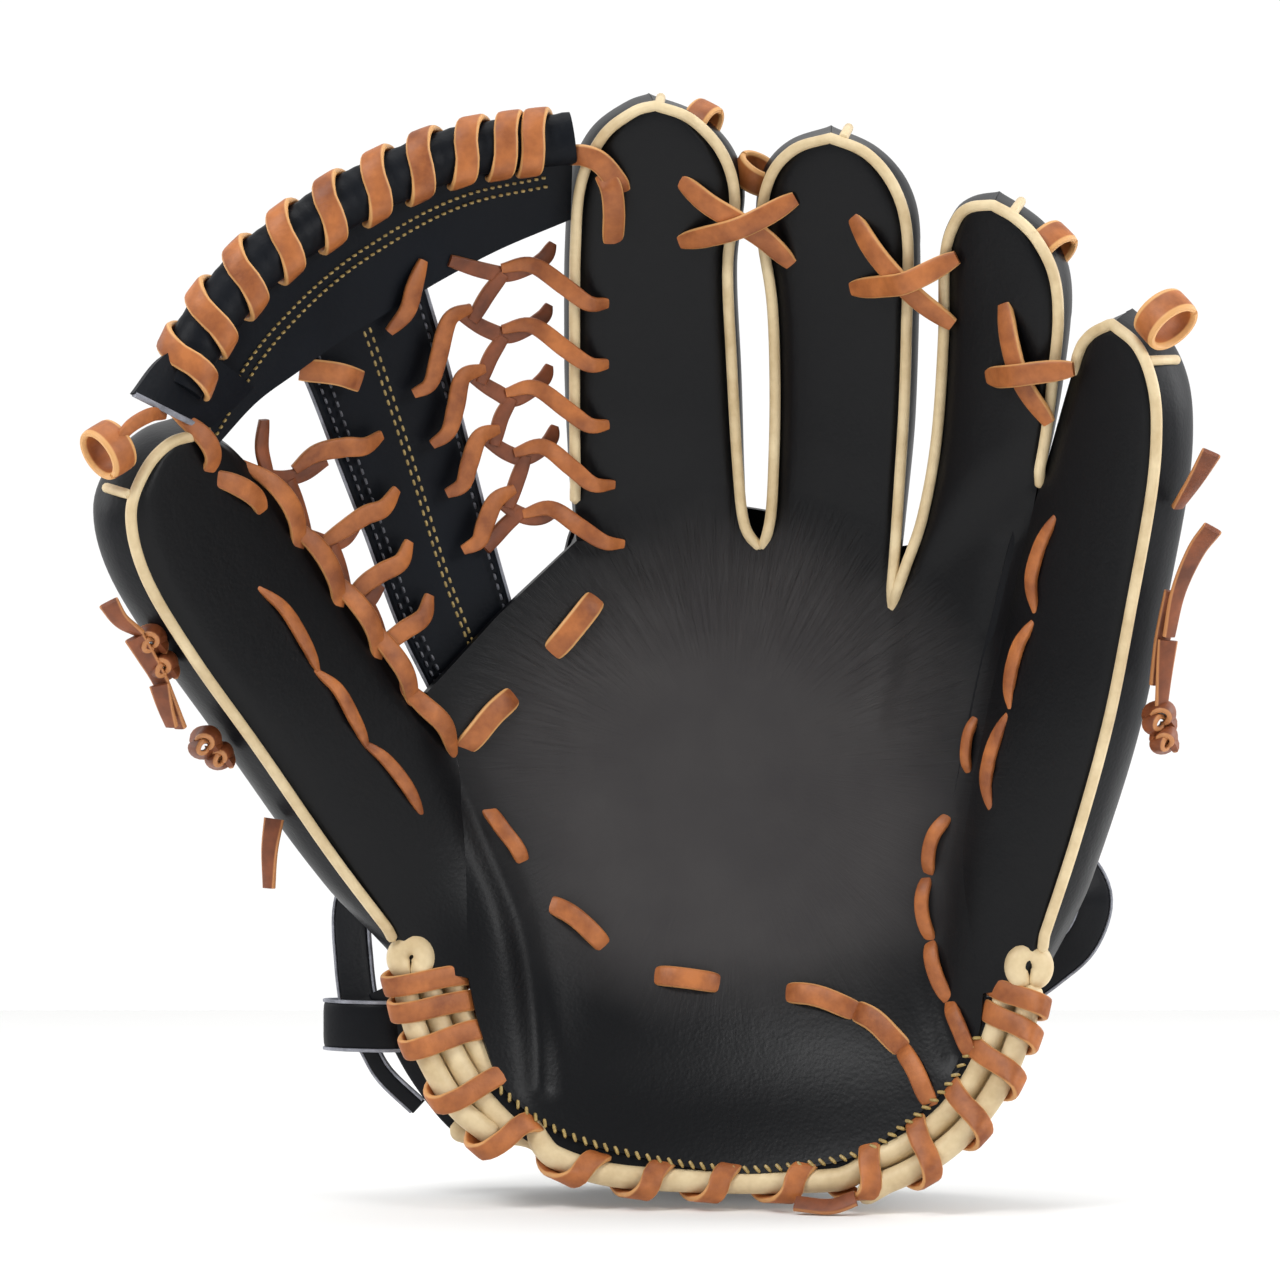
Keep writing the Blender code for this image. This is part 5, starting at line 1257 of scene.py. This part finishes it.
def cuffGrid(first, last, low, high, proud, columns=97, rows=17):
    c = cuffShape
    angle = np.radians(np.linspace(first, last, columns))
    x = c["centreX"] - c["halfX"] * np.cos(angle)
    along = (x - c["centreX"] + c["halfX"]) / (2 * c["halfX"])
    depth = c["thumbY"] + (c["littleY"] - c["thumbY"]) * along + c["depth"] * np.sin(angle) ** c["roundness"]
    line = lift(x, 0, depth)
    outward = np.cross(unit(np.gradient(line, axis=0)), (0, 0, -1))
    rise = c["endRise"] * np.clip(2 * np.abs(np.cos(angle)) - 1, 0, 1) ** 2
    share = np.linspace(0, 1, rows)[:, None]
    low, high = cuffHeight(low, x, rise), cuffHeight(high, x, rise)
    z = low + (high - low) * share
    proud = np.broadcast_to(proud, (rows, columns))
    return np.stack([line[:, 0] + outward[:, 0] * proud, line[:, 1] + outward[:, 1] * proud, z], -1), outward


def cuffStitches(first, last, z, proud):
    grid, outward = cuffGrid(first, last, z, z, proud, 200, 2)
    return stitchMesh(grid[1], outward, *fineStitch)


grid, outward = cuffGrid(13, 167, (1.6, 1.6), 49.0, 0.0)
puff = 0.9 * np.sin(np.linspace(0, math.pi, 17))[:, None] ** 0.6
makePiece("wristCuff", sheetMesh(grid + outward[None] * puff[..., None], 3.0, outward), blackLeather, "hand",
          ["wrist_cuff"])
edges = []
for z in ((2.4, 2.4), 48.6):
    grid, outward = cuffGrid(12.8, 167.2, z, z, -1.4, 160, 2)
    edges.append(sweepMesh(grid[1], outward, flatProfile(4.4, 6.0, 16)))
makePiece("wristCuffBinding", joined(edges), blackLeather)
makePiece("wristCuffStitches", joined([cuffStitches(26, 154, (6.4, 6.4), 0.6), cuffStitches(16, 164, 45.2,
                                                                                            0.6)]),
          thread)

# The padded liner: four rolls of padding across the wrist, quilted by the rows between them.
linerShape = dict(rolls=4, rise=2.0, panels=7)
grid, outward = cuffGrid(15, 165, (3.5, 3.5), 47.5, -3.6, 161, 49)
rolls = np.abs(np.sin(np.linspace(0, linerShape["rolls"] * math.pi, 49)))[:, None] ** 0.6
panels = np.abs(np.sin(np.linspace(0, linerShape["panels"] * math.pi, 161)))[None] ** 0.25
deepIn = 2.2 + linerShape["rise"] * rolls * panels
liner = makePiece("wristLiner", wallMesh(grid, grid - outward[None] * deepIn[..., None]), lining, "hand",
                  ["wrist_liner"], sharp=60)

# The strap over the cuff, its loop patch and the hooks on the tab: first and last angle, low and high, how
# far proud and the columns of the grid, then the thickness.
cuffSheets = {
    "wristStrap": ((36, 142, (12.0, 5.0), 42.0, 3.4, 97), 2.6, blackLeather, "hand", "wrist_strap"),
    "loopPatch": ((82, 118, 17, 37, 5.4, 49), 1.2, loopPile, "hand", "loop_patch"),
    "hookPatch": ((84, 116, 18, 36, 7.0, 45), 1.2, loopPile, "tab", "hook_patch"),
}
for name, (where, thickness, finish, body, node) in cuffSheets.items():
    grid, outward = cuffGrid(*where)
    makePiece(name, sheetMesh(grid, thickness, outward), finish, body, [node])
makePiece("wristStrapStitches", joined([cuffStitches(38, 140, z, 3.4) for z in ((14.6, 7.6), 39.4)]), thread)

# The pull tab, rounded at its free end.
t = np.linspace(0, 1, 81)
narrow = 13.0 * (1 - np.sqrt(np.clip(1 - np.clip((t - 0.8) / 0.2, 0, 0.97) ** 2, 0, 1)))
grid, outward = cuffGrid(67.5, 124, 14 + narrow, 40 - narrow, 10.4, 81, 17)
makePiece("strapTab", sheetMesh(grid, 2.6, outward), blackLeather, "tab", ["strap_tab"])
border = np.vstack([(grid[0] + (0, 0, 2.4))[:-4], (grid[-1] - (0, 0, 2.4))[::-1][4:]])
way = np.vstack([outward[:-4], outward[::-1][4:]])
makePiece("strapTabStitches", stitchMesh(border, way, *fineStitch), thread, "tab")
# The loops inside the thumb and little-finger stalls that hold the digits.
stayShape = {"thumb": (0.45, "thumb_stay"), "little": (0.5, "little_stay")}
for name, (where, node) in stayShape.items():
    shape = stallShapes[name]
    left, right, _, shares = railsOf(shape)
    row = int(np.argmin(np.abs(shares - where)))
    u = np.linspace(-0.55, 0.55, 40)
    middle, reach = (left[row] + right[row]) / 2, (right[row] - left[row]) / 2
    flat = middle + reach * u[:, None]
    bow = 5.5 + shape["depth"] * 0.45 * (1 - (u / u[-1]) ** 2)
    away = unit(np.array([shape["lean"], 1, 0.0]))
    path = lift(flat[:, 0], flat[:, 1], frontDepth(flat[:, 0], flat[:, 1])) + away * bow[:, None]
    makePiece(name + "Stay", sweepMesh(path, away, flatProfile(12.4, 1.8)), lining, shape["body"], [node])

# The adjusting strap at the thumb side of the wrist: the strap, its keeper, and the free end below it.
# Spots are (x, z, depth).
sideStraps = {
    "sideStrap": (((-43, 106, 31), (-60, 104, 33.5), (-75, 97, 32), (-83.5, 84, 27.5), (-83, 66, 19.5),
                   (-80, 47, 13)), 11.0, "side_strap"),
    "sideStrapEnd": (((-79.0, 44, 13), (-74, 35.5, 13), (-64.5, 26.5, 12)), 5.0, "side_strap_end"),
    "littleSideStrap": (((82, 90, 11.5), (97, 98, 10.5), (110, 100, 8.5), (120.5, 94, 7), (125, 85, 6),
                         (121.5, 74, 8),
                         (113, 66, 10), (105, 60, 12)), 11.0, "little_side_strap"),
}
rims = []
for name, (route, width, node) in sideStraps.items():
    spots = through(route, 50)
    path = lift(spots[:, 0], spots[:, 1], spots[:, 2])
    facing = unit(np.array([0.5 if "little" in name else -0.35, -1.0, 0.0]))
    makePiece(name, sweepMesh(path, facing, flatProfile(width, 2.6, 16)), blackLeather, "hand", [node])
    side = unit(np.cross(unit(np.gradient(path, axis=0)), facing))
    rims += [sweepMesh(path[1:-1] + side[1:-1] * by + facing * 0.5, facing, flatProfile(0.9, 1.6, 8))
             for by in (width / 2, -width / 2)]
makePiece("strapRawEdges", joined(rims), rawEdge)
keeperShape = dict(at=(-80.0, 49.5, 14.0), half=10.6, deep=5.4, width=13.5)
k = keeperShape
angle = np.radians(np.linspace(100, 430, 80))
path = lift(k["at"][0] + k["half"] * np.cos(angle), k["at"][1] + 0 * angle,
            k["at"][2] + k["deep"] * np.sin(angle) - 0.35 * k["half"] * np.cos(angle))
outwardWay = unit(np.stack([np.cos(angle) * k["deep"], np.sin(angle) * k["half"], 0 * angle], -1))
makePiece("strapKeeper", sweepMesh(path, outwardWay, flatProfile(k["width"], 2.4, 16)), blackLeather, "hand",
          ["strap_keeper"])
ends = [path + (0, 0, by) + outwardWay * 0.6 for by in (k["width"] / 2, -k["width"] / 2)]
makePiece("keeperRawEdges", joined([sweepMesh(line, outwardWay, flatProfile(1.0, 1.6, 8)) for line in ends]),
          rawEdge,
          "hand")
wristEdge = through(((-75.0, 60, 9.0), (-70.5, 50, 8.5), (-64.5, 38.5, 8.0), (-56.5, 27.5, 7.0),
                     (-50.0, 21.0, 7.0)), 40)
path = lift(wristEdge[:, 0], wristEdge[:, 1], wristEdge[:, 2])
makePiece("wristEdgeStrip", sweepMesh(path, (-0.3, -1.0, 0.0), flatProfile(8.0, 3.0)), blackLeather)
bindPath = lift(np.linspace(-55.5, -46.5, 14), np.linspace(21.4, 18.8, 14), np.full(14, 5.0))
makePiece("wristEdgeBinding", cordMesh(bindPath, 3.3, 14), cream)

# The lace ends that come out of the stalls' outer sides, each held by a knot. Spots are (x, z, depth).
tails = {
    "thumb": dict(body="thumb", node="thumb_tail", side=-1.0, width=5.6, routes=(
        ((-143.8, 168.0, 12), (-141.0, 163.4, 12), (-136.6, 160.0, 12)),
        ((-137.8, 158.8, 13), (-134.8, 153.4, 13), (-131.6, 147.2, 13), (-126.6, 134.4, 13)),
        ((-131.6, 146.0, 11), (-130.2, 140.0, 11), (-128.6, 134.8, 11)),
        ((-103.2, 108.8, 14), (-104.4, 100.0, 14), (-104.6, 89.6, 14)),
    ), knots=((-133.8, 157.4, 12, 4.2), (-130.8, 150.6, 12, 3.8), (-120.6, 129.6, 14, 4.4), (-117.0, 126.0,
                                                                                             14, 3.4))),
    "little": dict(body="little", node="little_tail", side=1.0, width=5.4, routes=(
        ((149.0, 207.6, 14), (145.4, 200.6, 14), (141.2, 193.6, 14)),
        ((149.4, 187.6, 12), (145.6, 181.6, 13), (141.6, 171.0, 13), (139.4, 159.0, 13)),
        ((139.2, 158.0, 13), (138.4, 150.0, 13), (137.6, 139.6, 13)),
        ((140.8, 171.0, 15), (138.0, 158.0, 15), (136.4, 146.0, 15)),
    ), knots=((137.4, 136.6, 13, 4.6), (138.6, 130.8, 13, 3.4))),
}


# A knot: a lace turned round itself one and a half times, as a short spiral.
def knotMesh(x, z, depth, size, width):
    angle = np.linspace(0, 3.2 * math.pi, 44)
    swing = size * (0.62 + 0.1 * np.sin(2 * angle))
    path = lift(x + swing * np.cos(angle), z + swing * 0.9 * np.sin(angle) + 0.22 * size * (angle / 3 - 1.5),
                depth + 1.5 * np.sin(1.5 * angle))
    way = unit(np.stack([np.cos(angle), -0.6 + 0 * angle, np.sin(angle)], -1))
    return sweepMesh(path, way, flatProfile(width, 1.8))


for name, tail in tails.items():
    made = []
    for route in tail["routes"]:
        spots = through(route, 24)
        spots[:, 2] += frontDepth(spots[:, 0], spots[:, 1])
        path = lift(spots[:, 0], spots[:, 1], spots[:, 2])
        taper = np.stack([1 - 0.3 * np.linspace(0, 1, 24), np.ones(24)], -1)
        twist = np.linspace(-0.3, 0.25, 24)
        way = unit(np.stack([tail["side"] * np.sin(twist + 0.4), -np.cos(twist + 0.4), 0 * twist], -1))
        made.append(sweepMesh(path, way, flatProfile(tail["width"], 1.8), taper))
    made += [knotMesh(x, z, frontDepth(x, z) + deep, size, tail["width"]) for x, z, deep,
             size in tail["knots"]]
    makePiece(name + "Tails", joined(made), darkLace, tail["body"], [tail["node"]])
heelTail = through(((57.0, 4.8, -3.0), (50, 2.4, -3.0), (40.5, 3.0, -3.0)), 20)
path = lift(heelTail[:, 0], heelTail[:, 1], frontDepth(heelTail[:, 0], heelTail[:, 1]) + heelTail[:, 2])
makePiece("heelTail", sweepMesh(path, (0.0, -0.7, 0.7), flatProfile(5.0, 1.8)), darkLace)
print("wrist and straps ready")

for name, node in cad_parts.items():  # any CAD solid that is still shown
    if not node.hide_render:
        print("CAD solid still shown:", name)
        for place in node.material_slots:
            place.material = blackLeather

for box, label in ((cadBox, "cad"), (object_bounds(), "visual")):
    print(label, [[round(v, 4) for v in corner] for corner in box])
